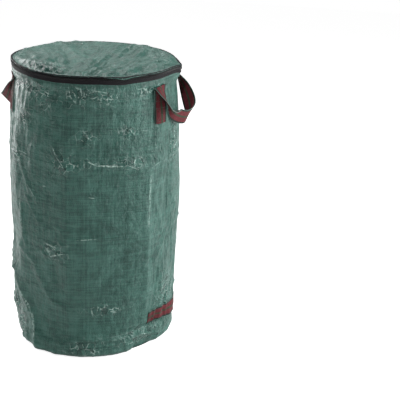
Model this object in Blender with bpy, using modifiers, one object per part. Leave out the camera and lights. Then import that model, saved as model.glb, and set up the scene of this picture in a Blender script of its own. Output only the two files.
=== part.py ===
"""Standing garden leaf bag: a woven cloth cylinder with a zipped lid and webbing handles.

The bag stands on its base with +Z up and its axis on Z. Its zip closes at the front (-Y),
its lid is hinged at the back (+Y), and its side handles are on +X and -X, with a low
tipping handle under the one on +X. All lengths are in metres.
"""

import math

import bmesh
import bpy
from mathutils import Matrix, Vector

# Bag body
BAG_HEIGHT = 0.760
BELLY_RADIUS = 0.225
BELLY_HEIGHT = 0.380
FOOT_RADIUS = 0.216
NECK_RADIUS = 0.2096
NECK_DEPTH = 0.046
RIM_CLOTH_RADIUS = 0.2125
CORNER_RADIUS = 0.014
CLOTH_THICKNESS = 0.0012
SEAT_GAP = 0.0003
WELD_DISTANCE = 0.00001

# Base
SEAM_ALLOWANCE = 0.010
BINDING_WIDTH = 0.020
BINDING_THICKNESS = 0.0010

# Rim casing and the springy hoop inside it
HOOP_DIAMETER = 0.0040
JOINER_WALL = 0.0010
JOINER_LENGTH = 0.040
HOOP_END_GAP = 0.0040
CASING_THICKNESS = 0.0009
CASING_TAIL = 0.009
CASING_MOUTH_ANGLE = math.radians(42)

# Zip: two tapes, two rows of coil, and the slider that joins them
TAPE_THICKNESS = 0.0008
TAPE_OVERLAP = 0.0028
COIL_THICKNESS = 0.0016
COIL_HEIGHT = 0.0019
COIL_ROW_GAP = 0.0014
COIL_SETBACK = 0.0005
SPLIT_DEPTH = 0.0080
CHAIN_HALF_ANGLE = math.radians(155)
HINGE_HALF_ANGLE = math.radians(10)
STOP_ANGLE = math.radians(166)
STOP_LENGTH = 0.0032
TAPE_END_GAP = 0.0006

# Zip slider and its pull
SLIDER_ANGLE = math.radians(160.5)
SLIDER_LENGTH = 0.0120
SLIDER_HEIGHT = 0.0080
SLIDER_PLATE = 0.0011
SLIDER_CLEARANCE = 0.0005
SLIDER_FLANGE = 0.0010
NECK_THICKNESS = 0.0006
NECK_LENGTH = 0.0026
BAIL_WIRE = 0.0010
BAIL_SPAN = 0.0066
BAIL_CLEAR_HEIGHT = 0.0019
PULL_THICKNESS = 0.0010
PULL_WIDTH = 0.0056
PULL_LENGTH = 0.0240
PULL_EYE_LENGTH = 0.0048
PULL_EYE_WIDTH = 0.0024
PULL_BAR = 0.0010
GRIP_HOLE_LENGTH = 0.0060

# Lid
LID_OVERHANG = 0.0004
LID_SAG = 0.004
HINGE_LINE_GAP = 0.0003

# Webbing handles
WEBBING_WIDTH = 0.040
WEBBING_THICKNESS = 0.0016
SIDE_TAB_DEPTH = 0.047
SIDE_TAB_HEIGHT = 0.086
SIDE_TAB_SPACING = 0.186
LOOP_END_DROP = 0.006
LOOP_REACH = 0.0360
LOOP_DROP = 0.076
LOOP_LEAD = 0.048
LOOP_RUN = 0.046
LOOP_PIVOT_OUTSET = 0.0080
TIP_STRAP_HEIGHT = 0.088
TIP_STRAP_WIDTH = 0.038
TIP_STRAP_LENGTH = 0.263
TIP_TAB_LENGTH = 0.030
TIP_STRAP_BULGE = 0.0070

# Shapes given as shares of the sizes above
LID_RING_SHARES = (0.0, 0.3, 0.6, 0.85, 1.0)
LOOP_LEAD_OUT_SHARE = 0.34
LOOP_LEAN_SHARE = 0.30
SLIDER_TAIL_SHARE = 0.76
SLIDER_SHOULDER_SHARE = 0.30
PULL_WAIST_SHARE = 0.78

# Facets
RING_STEPS = 72
WALL_STEPS = 8
CORNER_STEPS = 3
CASING_STEPS = 6
TUBE_SIDES = 8
TAB_STEPS = 3
LOOP_STEPS = 18

FULL_TURN = 2.0 * math.pi
HALF_TURN = math.pi
QUARTER_TURN = math.pi / 2.0
RIGHT = 1
LEFT = -1
FRONT = -1
REAR = 1

# Heights and radii that follow from the sizes above
NECK_HEIGHT = BAG_HEIGHT - NECK_DEPTH
SIDE_TAB_TOP = BAG_HEIGHT - SIDE_TAB_DEPTH
LID_UNDERSIDE = BAG_HEIGHT - CLOTH_THICKNESS
TAPE_TOP = LID_UNDERSIDE - SEAT_GAP
SPLIT_HEIGHT = BAG_HEIGHT - SPLIT_DEPTH
WALL_TOP = SPLIT_HEIGHT - SLIDER_HEIGHT / 2.0 - SLIDER_CLEARANCE
TAPE_BOTTOM = WALL_TOP - TAPE_OVERLAP
TAPE_INNER_RADIUS = RIM_CLOTH_RADIUS + SEAT_GAP
TAPE_OUTER_RADIUS = TAPE_INNER_RADIUS + TAPE_THICKNESS
COIL_INNER_RADIUS = TAPE_OUTER_RADIUS + SEAT_GAP
COIL_OUTER_RADIUS = COIL_INNER_RADIUS + COIL_THICKNESS
LID_RADIUS = TAPE_OUTER_RADIUS + LID_OVERHANG
JOINER_BORE = HOOP_DIAMETER + 2.0 * SEAT_GAP
JOINER_DIAMETER = JOINER_BORE + 2.0 * JOINER_WALL
CASING_BORE = JOINER_DIAMETER + 2.0 * SEAT_GAP
CASING_OUTER_RADIUS = RIM_CLOTH_RADIUS - CLOTH_THICKNESS - SEAT_GAP
HOOP_RADIUS = CASING_OUTER_RADIUS - CASING_THICKNESS - CASING_BORE / 2.0
HOOP_HEIGHT = WALL_TOP - CASING_THICKNESS - CASING_BORE / 2.0
CASING_BOTTOM = HOOP_HEIGHT - CASING_BORE / 2.0 - CASING_TAIL
SLIDER_DIRECTION = SLIDER_ANGLE - QUARTER_TURN


def clear_scene():
    """Remove every object, so that the bag is built in an empty scene."""
    for item in list(bpy.data.objects):
        bpy.data.objects.remove(item, do_unlink=True)


def make_collection(name):
    """Return a new collection in the scene."""
    collection = bpy.data.collections.new(name)
    bpy.context.scene.collection.children.link(collection)
    return collection


def make_material(name, colour, roughness, metallic=0.0):
    """Return a Principled material with one colour."""
    material = bpy.data.materials.new(name)
    material.use_nodes = True
    shader = material.node_tree.nodes["Principled BSDF"]
    shader.inputs["Base Color"].default_value = (*colour, 1.0)
    shader.inputs["Roughness"].default_value = roughness
    shader.inputs["Metallic"].default_value = metallic
    material.diffuse_color = (*colour, 1.0)
    return material


def add_object(name, data, material, collection):
    """Put a mesh or curve in the collection as a named object."""
    item = bpy.data.objects.new(name, data)
    collection.objects.link(item)
    data.materials.append(material)
    return item


def add_helper(name, data, collection):
    """Put a shape that only cuts or joins another in the helpers' collection."""
    item = bpy.data.objects.new(name, data)
    collection.objects.link(item)
    item.hide_render = True
    item.display_type = "WIRE"
    return item


def add_pivot(name, place, collection):
    """Return an empty that stands on a joint's axis."""
    pivot = bpy.data.objects.new(name, None)
    collection.objects.link(pivot)
    pivot.location = place
    return pivot


def hang_on(piece, pivot):
    """Carry a piece by a pivot, and keep the piece where it is."""
    piece.parent = pivot
    piece.location = piece.location - pivot.location


def polar(angle, radius, height):
    """Return the point at an angle round the bag, counted from +X towards +Y."""
    return Vector((radius * math.cos(angle), radius * math.sin(angle), height))


def wall_radius(height):
    """Return the outer radius of the cloth: a barrel up to the neck, then out to the rim."""
    if height <= BELLY_HEIGHT:
        share = (BELLY_HEIGHT - height) / BELLY_HEIGHT
        return BELLY_RADIUS - (BELLY_RADIUS - FOOT_RADIUS) * share ** 2
    if height <= NECK_HEIGHT:
        share = (height - BELLY_HEIGHT) / (NECK_HEIGHT - BELLY_HEIGHT)
        return BELLY_RADIUS - (BELLY_RADIUS - NECK_RADIUS) * share ** 2
    share = min(1.0, (height - NECK_HEIGHT) / (CASING_BOTTOM - NECK_HEIGHT))
    ease = share * share * (3.0 - 2.0 * share)
    return NECK_RADIUS + (RIM_CLOTH_RADIUS - NECK_RADIUS) * ease


def spread(low, high, steps):
    """Return evenly spaced values from low to high, both included."""
    return [low + (high - low) * step / steps for step in range(steps + 1)]


def profile_mesh(name, points):
    """Return a mesh of edges through (radius, height) points, in the XZ plane."""
    mesh = bpy.data.meshes.new(name)
    edges = [(index, index + 1) for index in range(len(points) - 1)]
    mesh.from_pydata([(radius, 0.0, height) for radius, height in points], edges, [])
    return mesh


def turn_profile(item, start=0.0, span=FULL_TURN, steps=RING_STEPS):
    """Sweep an object's profile about Z, from the start angle over the span."""
    screw = item.modifiers.new("turn", "SCREW")
    screw.axis = "Z"
    screw.angle = span
    screw.steps = steps
    screw.render_steps = steps
    screw.use_merge_vertices = span == FULL_TURN
    screw.merge_threshold = WELD_DISTANCE
    screw.use_smooth_shade = True
    item.rotation_euler.z = start


def thicken(item, thickness):
    """Give an open surface its thickness, inwards from its outer face."""
    solidify = item.modifiers.new("thickness", "SOLIDIFY")
    solidify.thickness = thickness
    solidify.offset = -1.0
    solidify.use_even_offset = True


def turned_sheet(name, points, thickness, material, collection, start=0.0, span=FULL_TURN,
                 steps=RING_STEPS):
    """Return a sheet turned about the bag's axis, thickened inwards."""
    item = add_object(name, profile_mesh(name, points), material, collection)
    turn_profile(item, start, span, steps)
    thicken(item, thickness)
    return item


def ring_steps(span):
    """Return how many facets an arc of the rim takes, at the facet size of a full ring."""
    return max(1, round(RING_STEPS * span / FULL_TURN))


def rim_band(name, outer_radius, thickness, low, high, middle, half_angle, material, collection):
    """Return an upright band on the rim, centred on an angle round the bag."""
    points = [(outer_radius, high), (outer_radius, low)]
    span = 2.0 * half_angle
    return turned_sheet(name, points, thickness, material, collection,
                        middle - half_angle, span, ring_steps(span))


def make_side_wall(cloth, collection):
    """The cloth cylinder, with its rounded foot turned in to the base seam."""
    points = [(RIM_CLOTH_RADIUS, WALL_TOP), (RIM_CLOTH_RADIUS, CASING_BOTTOM)]
    middle = (CASING_BOTTOM + NECK_HEIGHT) / 2.0
    points.append((wall_radius(middle), middle))
    for height in spread(NECK_HEIGHT, CORNER_RADIUS, WALL_STEPS):
        points.append((wall_radius(height), height))
    centre = wall_radius(CORNER_RADIUS) - CORNER_RADIUS
    for angle in spread(0.0, QUARTER_TURN, CORNER_STEPS)[1:]:
        points.append((centre + CORNER_RADIUS * math.cos(angle),
                       CORNER_RADIUS * (1.0 - math.sin(angle))))
    points.append((centre - SEAM_ALLOWANCE, 0.0))
    return turned_sheet("side_wall", points, CLOTH_THICKNESS, cloth, collection)


def base_seam_radius():
    """Return the radius where the wall's turned-in foot meets the base panel."""
    return wall_radius(CORNER_RADIUS) - CORNER_RADIUS - SEAM_ALLOWANCE


def make_base_panel(cloth, collection):
    """The round base, flush with the wall's foot."""
    mesh = bpy.data.meshes.new("base_panel")
    shape = bmesh.new()
    radius = base_seam_radius() - SEAT_GAP
    bmesh.ops.create_cone(shape, cap_ends=True, segments=RING_STEPS, radius1=radius,
                          radius2=radius, depth=CLOTH_THICKNESS)
    shape.to_mesh(mesh)
    shape.free()
    panel = add_object("base_panel", mesh, cloth, collection)
    panel.location.z = CLOTH_THICKNESS / 2.0
    return panel


def make_base_binding(binding, collection):
    """The tape that covers the base seam on the inside."""
    top = CLOTH_THICKNESS + SEAT_GAP + BINDING_THICKNESS
    inner = base_seam_radius() - BINDING_WIDTH / 2.0
    outer = base_seam_radius() + SEAM_ALLOWANCE
    return turned_sheet("base_binding", [(inner, top), (outer, top)], BINDING_THICKNESS,
                        binding, collection)


def make_rim_casing(cloth, collection):
    """The sewn-in strip that wraps the hoop: a rolled tube with a tail down the wall.

    The tube stays open along its stitch line, at the bottom.
    """
    radius = CASING_BORE / 2.0 + CASING_THICKNESS
    points = []
    for angle in spread(-QUARTER_TURN - CASING_MOUTH_ANGLE, -FULL_TURN, CASING_STEPS):
        points.append((HOOP_RADIUS + radius * math.cos(angle),
                       HOOP_HEIGHT + radius * math.sin(angle)))
    points.append((CASING_OUTER_RADIUS, CASING_BOTTOM))
    return turned_sheet("rim_casing", points, CASING_THICKNESS, cloth, collection)


def circle_points(centre_radius, centre_height, diameter):
    """Return a small circle's points in the profile plane."""
    radius = diameter / 2.0
    turns = [FULL_TURN * side / TUBE_SIDES for side in range(TUBE_SIDES)]
    return [(centre_radius + radius * math.cos(turn), centre_height - radius * math.sin(turn))
            for turn in turns]


def arc_tube_mesh(name, section, start, span, steps, capped):
    """Return a tube along an arc about Z, with its ends closed where it is capped."""
    shape = bmesh.new()
    verts = [shape.verts.new((radius, 0.0, height)) for radius, height in section]
    first = [shape.edges.new((verts[side - 1], verts[side])) for side in range(TUBE_SIDES)]
    spun = bmesh.ops.spin(shape, geom=first, cent=(0.0, 0.0, 0.0), axis=(0.0, 0.0, 1.0),
                          angle=span, steps=steps, use_duplicate=False)
    last = [part for part in spun["geom_last"] if isinstance(part, bmesh.types.BMEdge)]
    if capped:
        bmesh.ops.contextual_create(shape, geom=first)
        bmesh.ops.contextual_create(shape, geom=last)
        bmesh.ops.recalc_face_normals(shape, faces=shape.faces)
    shape.transform(Matrix.Rotation(start, 4, "Z"))
    mesh = bpy.data.meshes.new(name)
    shape.to_mesh(mesh)
    shape.free()
    mesh.shade_smooth()
    return mesh


def make_rim_hoop(plastic, collection):
    """The springy rod that holds the mouth round, open at the back."""
    half_gap = HOOP_END_GAP / 2.0 / HOOP_RADIUS
    section = circle_points(HOOP_RADIUS, HOOP_HEIGHT, HOOP_DIAMETER)
    mesh = arc_tube_mesh("rim_hoop", section, QUARTER_TURN + half_gap,
                         FULL_TURN - 2.0 * half_gap, RING_STEPS, capped=True)
    return add_object("rim_hoop", mesh, plastic, collection)


def make_hoop_joiner(plastic, collection):
    """The sleeve that holds the hoop's two ends together."""
    span = JOINER_LENGTH / HOOP_RADIUS
    section = circle_points(HOOP_RADIUS, HOOP_HEIGHT, JOINER_DIAMETER)
    mesh = arc_tube_mesh("hoop_joiner", section, QUARTER_TURN - span / 2.0, span,
                         2 * ring_steps(span), capped=False)
    joiner = add_object("hoop_joiner", mesh, plastic, collection)
    thicken(joiner, JOINER_WALL)
    return joiner


def coil_heights(side):
    """Return the low and high edge of a coil row: side 1 is above the split, -1 below."""
    near = SPLIT_HEIGHT + side * COIL_ROW_GAP / 2.0
    far = near + side * COIL_HEIGHT
    return min(near, far), max(near, far)


def make_fixed_zip(tape, coil, cloth, collection):
    """The zip's lower half, its two end stops, and the plain strip that hinges the lid."""
    back = QUARTER_TURN
    tape_half_angle = HALF_TURN - HINGE_HALF_ANGLE - TAPE_END_GAP / TAPE_OUTER_RADIUS
    lower_edge = SPLIT_HEIGHT - COIL_ROW_GAP / 2.0 - COIL_SETBACK
    rim_band("lower_zip_tape", TAPE_OUTER_RADIUS, TAPE_THICKNESS, TAPE_BOTTOM, lower_edge,
             -back, tape_half_angle, tape, collection)
    low, high = coil_heights(-1)
    rim_band("lower_zip_coil", COIL_OUTER_RADIUS, COIL_THICKNESS, low, high,
             -back, CHAIN_HALF_ANGLE, coil, collection)
    stop_half_angle = STOP_LENGTH / 2.0 / COIL_OUTER_RADIUS
    for name, side in (("zip_stop_right", RIGHT), ("zip_stop_left", LEFT)):
        rim_band(name, COIL_OUTER_RADIUS, COIL_THICKNESS, low, high,
                 -back + side * STOP_ANGLE, stop_half_angle, coil, collection)
    rim_band("hinge_strip", TAPE_OUTER_RADIUS, TAPE_THICKNESS, TAPE_BOTTOM, TAPE_TOP,
             back, HINGE_HALF_ANGLE, cloth, collection)


def lid_hinge_place():
    """Return a point on the line that the lid turns about, at the back of the rim."""
    return Vector((0.0, LID_RADIUS + HINGE_LINE_GAP, BAG_HEIGHT))


def make_lid(cloth, tape, coil, collection):
    """The round lid, sagging a little, with the zip's upper half under its edge."""
    pivot = add_pivot("lid_pivot", lid_hinge_place(), collection)
    points = []
    for share in LID_RING_SHARES:
        sag = LID_SAG * (1.0 - share ** 2) ** 2
        points.append((LID_RADIUS * share, BAG_HEIGHT - sag))
    panel = turned_sheet("lid_panel", points, CLOTH_THICKNESS, cloth, collection)
    upper_edge = SPLIT_HEIGHT + COIL_ROW_GAP / 2.0 + COIL_SETBACK
    upper_tape = rim_band("upper_zip_tape", TAPE_OUTER_RADIUS, TAPE_THICKNESS, upper_edge,
                          TAPE_TOP, -QUARTER_TURN, CHAIN_HALF_ANGLE, tape, collection)
    low, high = coil_heights(1)
    upper_coil = rim_band("upper_zip_coil", COIL_OUTER_RADIUS, COIL_THICKNESS, low, high,
                          -QUARTER_TURN, CHAIN_HALF_ANGLE, coil, collection)
    for piece in (panel, upper_tape, upper_coil):
        hang_on(piece, pivot)


def outline_mesh(name, outlines, thickness, across=Matrix.Identity(4)):
    """Return a flat plate from closed 2D outlines, holes among them, moved by a matrix."""
    curve = bpy.data.curves.new(name, "CURVE")
    curve.dimensions = "2D"
    curve.fill_mode = "BOTH"
    curve.extrude = thickness / 2.0
    for outline in outlines:
        spline = curve.splines.new("POLY")
        spline.points.add(len(outline) - 1)
        for point, (along, aside) in zip(spline.points, outline):
            point.co = (along, aside, 0.0, 1.0)
        spline.use_cyclic_u = True
    return solid_from_curve(name, curve, across)


def solid_from_curve(name, curve, across):
    """Return a curve's shape as one welded mesh, moved by a matrix."""
    item = bpy.data.objects.new(name, curve)
    bpy.context.scene.collection.objects.link(item)
    shape = bmesh.new()
    source = bpy.data.meshes.new_from_object(item.evaluated_get(
        bpy.context.evaluated_depsgraph_get()))
    shape.from_mesh(source)
    bmesh.ops.remove_doubles(shape, verts=shape.verts, dist=WELD_DISTANCE)
    shape.transform(across)
    bmesh.ops.recalc_face_normals(shape, faces=shape.faces)
    mesh = bpy.data.meshes.new(name)
    shape.to_mesh(mesh)
    shape.free()
    bpy.data.meshes.remove(source)
    bpy.data.objects.remove(item, do_unlink=True)
    bpy.data.curves.remove(curve)
    return mesh


def box_mesh(name, low, high):
    """Return a box between two corners."""
    shape = bmesh.new()
    bmesh.ops.create_cube(shape, size=1.0)
    size = [top - bottom for bottom, top in zip(low, high)]
    centre = [(top + bottom) / 2.0 for bottom, top in zip(low, high)]
    shape.transform(Matrix.Translation(centre) @ Matrix.Diagonal((*size, 1.0)))
    mesh = bpy.data.meshes.new(name)
    shape.to_mesh(mesh)
    shape.free()
    return mesh


def join_to(item, helper):
    """Unite a helper's shape with an item."""
    union = item.modifiers.new(helper.name, "BOOLEAN")
    union.operation = "UNION"
    union.solver = "EXACT"
    union.object = helper
    helper.parent = item


def facing_out(radius):
    """Return the matrix that stands a flat outline on the rim at +X: along is +Y, aside +Z."""
    upright = Matrix(((0.0, 0.0, 1.0, radius),
                      (1.0, 0.0, 0.0, 0.0),
                      (0.0, 1.0, 0.0, SPLIT_HEIGHT),
                      (0.0, 0.0, 0.0, 1.0)))
    return upright


def slider_outline():
    """Return the slider plate's outline: wide at its neck end, narrow at its tail."""
    half_length = SLIDER_LENGTH / 2.0
    half_height = SLIDER_HEIGHT / 2.0
    shoulder = half_length * SLIDER_SHOULDER_SHARE
    tail = half_height * SLIDER_TAIL_SHARE
    upper = [(half_length, half_height * SLIDER_SHOULDER_SHARE), (shoulder, half_height),
             (-half_length, tail)]
    lower = [(along, -aside) for along, aside in reversed(upper)]
    return upper + lower


def slider_radii():
    """Return the radii of the slider's plates: inner face, inner top, outer face, outer top."""
    inner_top = TAPE_INNER_RADIUS - SLIDER_CLEARANCE
    outer_face = COIL_OUTER_RADIUS + SLIDER_CLEARANCE
    return inner_top - SLIDER_PLATE, inner_top, outer_face, outer_face + SLIDER_PLATE


def make_bail(radius):
    """Return the small arch on the slider that its pull hangs from."""
    curve = bpy.data.curves.new("bail", "CURVE")
    curve.dimensions = "3D"
    curve.bevel_depth = BAIL_WIRE / 2.0
    curve.bevel_resolution = 1
    curve.use_fill_caps = True
    half_span = BAIL_SPAN / 2.0
    crown = BAIL_CLEAR_HEIGHT + BAIL_WIRE / 2.0
    foot = SLIDER_PLATE / 2.0
    turn = BAIL_WIRE
    path = [(-half_span, -foot), (-half_span, crown - turn), (turn - half_span, crown),
            (half_span - turn, crown), (half_span, crown - turn), (half_span, -foot)]
    spline = curve.splines.new("POLY")
    spline.points.add(len(path) - 1)
    for point, (along, out) in zip(spline.points, path):
        point.co = (radius + out, along, SPLIT_HEIGHT, 1.0)
    return solid_from_curve("bail", curve, Matrix.Identity(4))


def make_slider(metal, collection, helpers):
    """The zip slider: two plates joined by a neck that runs between the coil rows."""
    inner_face, inner_top, outer_face, outer_top = slider_radii()
    outline = [slider_outline()]
    outer_middle = (outer_face + outer_top) / 2.0
    inner_middle = (inner_face + inner_top) / 2.0
    pivot = add_pivot("slider_pivot", (0.0, 0.0, SPLIT_HEIGHT), collection)
    plate = outline_mesh("zip_slider", outline, SLIDER_PLATE, facing_out(outer_middle))
    slider = add_object("zip_slider", plate, metal, collection)
    slider.rotation_euler.z = SLIDER_DIRECTION

    bite = SLIDER_PLATE / 2.0
    neck_end = SLIDER_LENGTH / 2.0 - SLIDER_PLATE
    half_neck = NECK_THICKNESS / 2.0
    shapes = [
        outline_mesh("slider_back", outline, SLIDER_PLATE, facing_out(inner_middle)),
        box_mesh("slider_neck",
                 (inner_top - bite, neck_end - NECK_LENGTH, SPLIT_HEIGHT - half_neck),
                 (outer_face + bite, neck_end, SPLIT_HEIGHT + half_neck)),
        make_bail(outer_top),
    ]
    flange_reach = TAPE_OUTER_RADIUS + SLIDER_CLEARANCE
    flange_start = -SLIDER_LENGTH / 2.0 + SLIDER_PLATE
    flange_end = SLIDER_LENGTH / 2.0 * SLIDER_SHOULDER_SHARE
    inner_edge = COIL_ROW_GAP / 2.0 + COIL_HEIGHT + SLIDER_CLEARANCE / 2.0
    outer_edge = SLIDER_HEIGHT / 2.0 * SLIDER_TAIL_SHARE
    for side in (-1.0, 1.0):
        edges = sorted((SPLIT_HEIGHT + side * inner_edge, SPLIT_HEIGHT + side * (
            inner_edge + SLIDER_FLANGE)))
        shapes.append(box_mesh("slider_flange", (flange_reach, flange_start, edges[0]),
                               (outer_face + bite, flange_end, edges[1])))
    for mesh in shapes:
        join_to(slider, add_helper(mesh.name, mesh, helpers))
    hang_on(slider, pivot)


def pull_radius():
    """Return the radius of the pull's crossbar, in the middle of the bail's clear height."""
    return slider_radii()[3] + BAIL_CLEAR_HEIGHT / 2.0


def make_pull(metal, collection):
    """The pull tab, whose eye goes round the bail."""
    half_width = PULL_WIDTH / 2.0
    half_eye = PULL_EYE_WIDTH / 2.0
    bar = PULL_BAR / 2.0
    eye_end = bar + PULL_EYE_LENGTH
    waist = half_width * PULL_WAIST_SHARE
    tip = PULL_LENGTH - bar
    chamfer = half_width / 2.0
    upper = [(-bar, half_width - chamfer), (chamfer - bar, half_width), (eye_end, half_width),
             ((eye_end + tip) / 2.0, waist), (tip - chamfer, half_width),
             (tip, half_width - chamfer)]
    edge = upper + [(along, -aside) for along, aside in reversed(upper)]
    eye = [(bar, half_eye), (eye_end, half_eye), (eye_end, -half_eye), (bar, -half_eye)]
    grip_end = tip - half_width
    grip_start = grip_end - GRIP_HOLE_LENGTH
    grip = [(grip_start, half_eye), (grip_end, half_eye), (grip_end, -half_eye),
            (grip_start, -half_eye)]
    place = polar(SLIDER_DIRECTION, pull_radius(), SPLIT_HEIGHT)
    pivot = add_pivot("pull_pivot", place, collection)
    lie_back = Matrix(((0.0, 0.0, 1.0, 0.0),
                       (-1.0, 0.0, 0.0, 0.0),
                       (0.0, 1.0, 0.0, 0.0),
                       (0.0, 0.0, 0.0, 1.0)))
    mesh = outline_mesh("zip_pull", [edge, eye, grip], PULL_THICKNESS, lie_back)
    pull = add_object("zip_pull", mesh, metal, collection)
    pull.location = place
    pull.rotation_euler.z = SLIDER_DIRECTION
    hang_on(pull, pivot)


def wall_tab(name, low, high, middle, width, material, collection):
    """Return a flat piece of webbing sewn on the wall, centred on an angle."""
    outset = SEAT_GAP + WEBBING_THICKNESS
    points = [(wall_radius(height) + outset, height) for height in spread(high, low, TAB_STEPS)]
    span = width / wall_radius((low + high) / 2.0)
    return turned_sheet(name, points, WEBBING_THICKNESS, material, collection,
                        middle - span / 2.0, span, TAB_STEPS)


def side_tab_angle():
    """Return half the angle between a side handle's two tabs, seen from the bag's axis."""
    radius = wall_radius(SIDE_TAB_TOP - SIDE_TAB_HEIGHT / 2.0)
    return math.asin(SIDE_TAB_SPACING / 2.0 / radius)


def make_side_tabs(webbing, collection):
    """The four upright tabs that the side handles hang from."""
    low = SIDE_TAB_TOP - SIDE_TAB_HEIGHT
    for side_name, side in (("right", RIGHT), ("left", LEFT)):
        for end_name, end in (("front", FRONT), ("rear", REAR)):
            middle = end * side_tab_angle()
            if side == LEFT:
                middle = HALF_TURN - middle
            wall_tab(side_name + "_" + end_name + "_tab", low, SIDE_TAB_TOP, middle,
                     WEBBING_WIDTH, webbing, collection)


def loop_end():
    """Return the front end of the right handle's loop, in the middle of its width."""
    height = SIDE_TAB_TOP - LOOP_END_DROP
    radius = wall_radius(height) + 2.0 * SEAT_GAP + 1.5 * WEBBING_THICKNESS
    return polar(-side_tab_angle(), radius, height)


def loop_middle():
    """Return the middle of the right handle's loop, where it stands farthest out."""
    height = SIDE_TAB_TOP - LOOP_DROP
    return Vector((wall_radius(SIDE_TAB_TOP) + LOOP_REACH, 0.0, height))


def bezier(points, share):
    """Return the point and the direction at a share of a cubic curve's length."""
    rest = 1.0 - share
    first, second, third, last = points
    place = (first * rest ** 3 + second * 3.0 * rest ** 2 * share
             + third * 3.0 * rest * share ** 2 + last * share ** 3)
    heading = ((second - first) * rest ** 2 + (third - second) * 2.0 * rest * share
               + (last - third) * share ** 2)
    return place, heading.normalized()


def loop_station(share):
    """Return the right loop's centre and its width direction, from front (0) to rear (1).

    The webbing leaves its tab flat on the wall, hangs out and down, and turns its width
    upright by the middle. The rear half mirrors the front half.
    """
    mirrored = share > 0.5
    half_share = 2.0 * (1.0 - share if mirrored else share)
    end = loop_end()
    middle = loop_middle()
    outward = Vector((end.x, end.y, 0.0)).normalized()
    down = Vector((0.0, 0.0, -1.0))
    lead = (down + outward * LOOP_LEAD_OUT_SHARE).normalized() * LOOP_LEAD
    run = Vector((0.0, LOOP_RUN, 0.0))
    place, heading = bezier((end, end + lead, middle - run, middle), half_share)
    flat = outward.cross(down)
    upright = Vector((LOOP_LEAN_SHARE, 0.0, 1.0)).normalized()
    ease = half_share * half_share * (3.0 - 2.0 * half_share)
    across = flat * (1.0 - ease) + upright * ease
    across = (across - heading * across.dot(heading)).normalized()
    if mirrored:
        place.y = -place.y
        across.y = -across.y
    return place, across


def ribbon_mesh(name, stations, width):
    """Return an open ribbon through stations, each a centre and a width direction."""
    shape = bmesh.new()
    half_width = width / 2.0
    rows = [(place + across * half_width, place - across * half_width)
            for place, across in stations]
    verts = [shape.verts.new(point) for point in rows[0]]
    edge = shape.edges.new(verts)
    for row in rows[1:]:
        grown = bmesh.ops.extrude_edge_only(shape, edges=[edge])["geom"]
        edge = next(part for part in grown if isinstance(part, bmesh.types.BMEdge))
        fresh = {}
        for vert in edge.verts:
            source = min(verts, key=lambda old: (old.co - vert.co).length)
            fresh[source] = vert
        verts = [fresh[old] for old in verts]
        for vert, point in zip(verts, row):
            vert.co = point
    mesh = bpy.data.meshes.new(name)
    shape.to_mesh(mesh)
    shape.free()
    mesh.shade_smooth()
    return mesh


def add_ribbon(name, stations, width, webbing, collection):
    """Return a strip of webbing through stations."""
    strip = add_object(name, ribbon_mesh(name, stations, width), webbing, collection)
    solidify = strip.modifiers.new("thickness", "SOLIDIFY")
    solidify.thickness = WEBBING_THICKNESS
    solidify.offset = 0.0
    return strip


def loop_pivot_place():
    """Return a point on the line that the right handle swings about."""
    end = loop_end()
    return Vector((end.x + LOOP_PIVOT_OUTSET, 0.0, end.z))


def make_side_loops(webbing, collection):
    """The two hanging loops of the side handles."""
    for name, side in (("right_handle_loop", RIGHT), ("left_handle_loop", LEFT)):
        mirror = Matrix.Diagonal((side, 1.0, 1.0))
        stations = []
        for share in spread(0.0, 1.0, LOOP_STEPS):
            place, across = loop_station(share)
            stations.append((mirror @ place, mirror @ across))
        strip = add_ribbon(name, stations, WEBBING_WIDTH, webbing, collection)
        pivot = add_pivot(name + "_pivot", mirror @ loop_pivot_place(), collection)
        hang_on(strip, pivot)


def tip_strap_station(angle, free_half_angle):
    """Return the tipping strap's centre and width direction at an angle from +X."""
    low = TIP_STRAP_HEIGHT - TIP_STRAP_WIDTH / 2.0
    high = TIP_STRAP_HEIGHT + TIP_STRAP_WIDTH / 2.0
    bulge = TIP_STRAP_BULGE * math.cos(angle / free_half_angle * QUARTER_TURN) ** 2
    outset = SEAT_GAP + WEBBING_THICKNESS / 2.0 + bulge
    top = polar(angle, wall_radius(high) + outset, high)
    bottom = polar(angle, wall_radius(low) + outset, low)
    return (top + bottom) / 2.0, (top - bottom).normalized()


def make_tip_strap(webbing, collection):
    """The low strap for tipping the bag out: two sewn ends and a free span between them."""
    radius = wall_radius(TIP_STRAP_HEIGHT)
    half_angle = TIP_STRAP_LENGTH / 2.0 / radius
    tab_angle = TIP_TAB_LENGTH / radius
    low = TIP_STRAP_HEIGHT - TIP_STRAP_WIDTH / 2.0
    high = TIP_STRAP_HEIGHT + TIP_STRAP_WIDTH / 2.0
    for name, end in (("tip_strap_front_tab", FRONT), ("tip_strap_rear_tab", REAR)):
        wall_tab(name, low, high, end * (half_angle - tab_angle / 2.0), TIP_TAB_LENGTH,
                 webbing, collection)
    free_half_angle = half_angle - tab_angle - SEAT_GAP / radius
    stations = [tip_strap_station(angle, free_half_angle)
                for angle in spread(-free_half_angle, free_half_angle, LOOP_STEPS)]
    strap = add_ribbon("tip_strap_span", stations, TIP_STRAP_WIDTH, webbing, collection)
    pivot = add_pivot("tip_strap_pivot", (radius, 0.0, TIP_STRAP_HEIGHT), collection)
    hang_on(strap, pivot)


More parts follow.
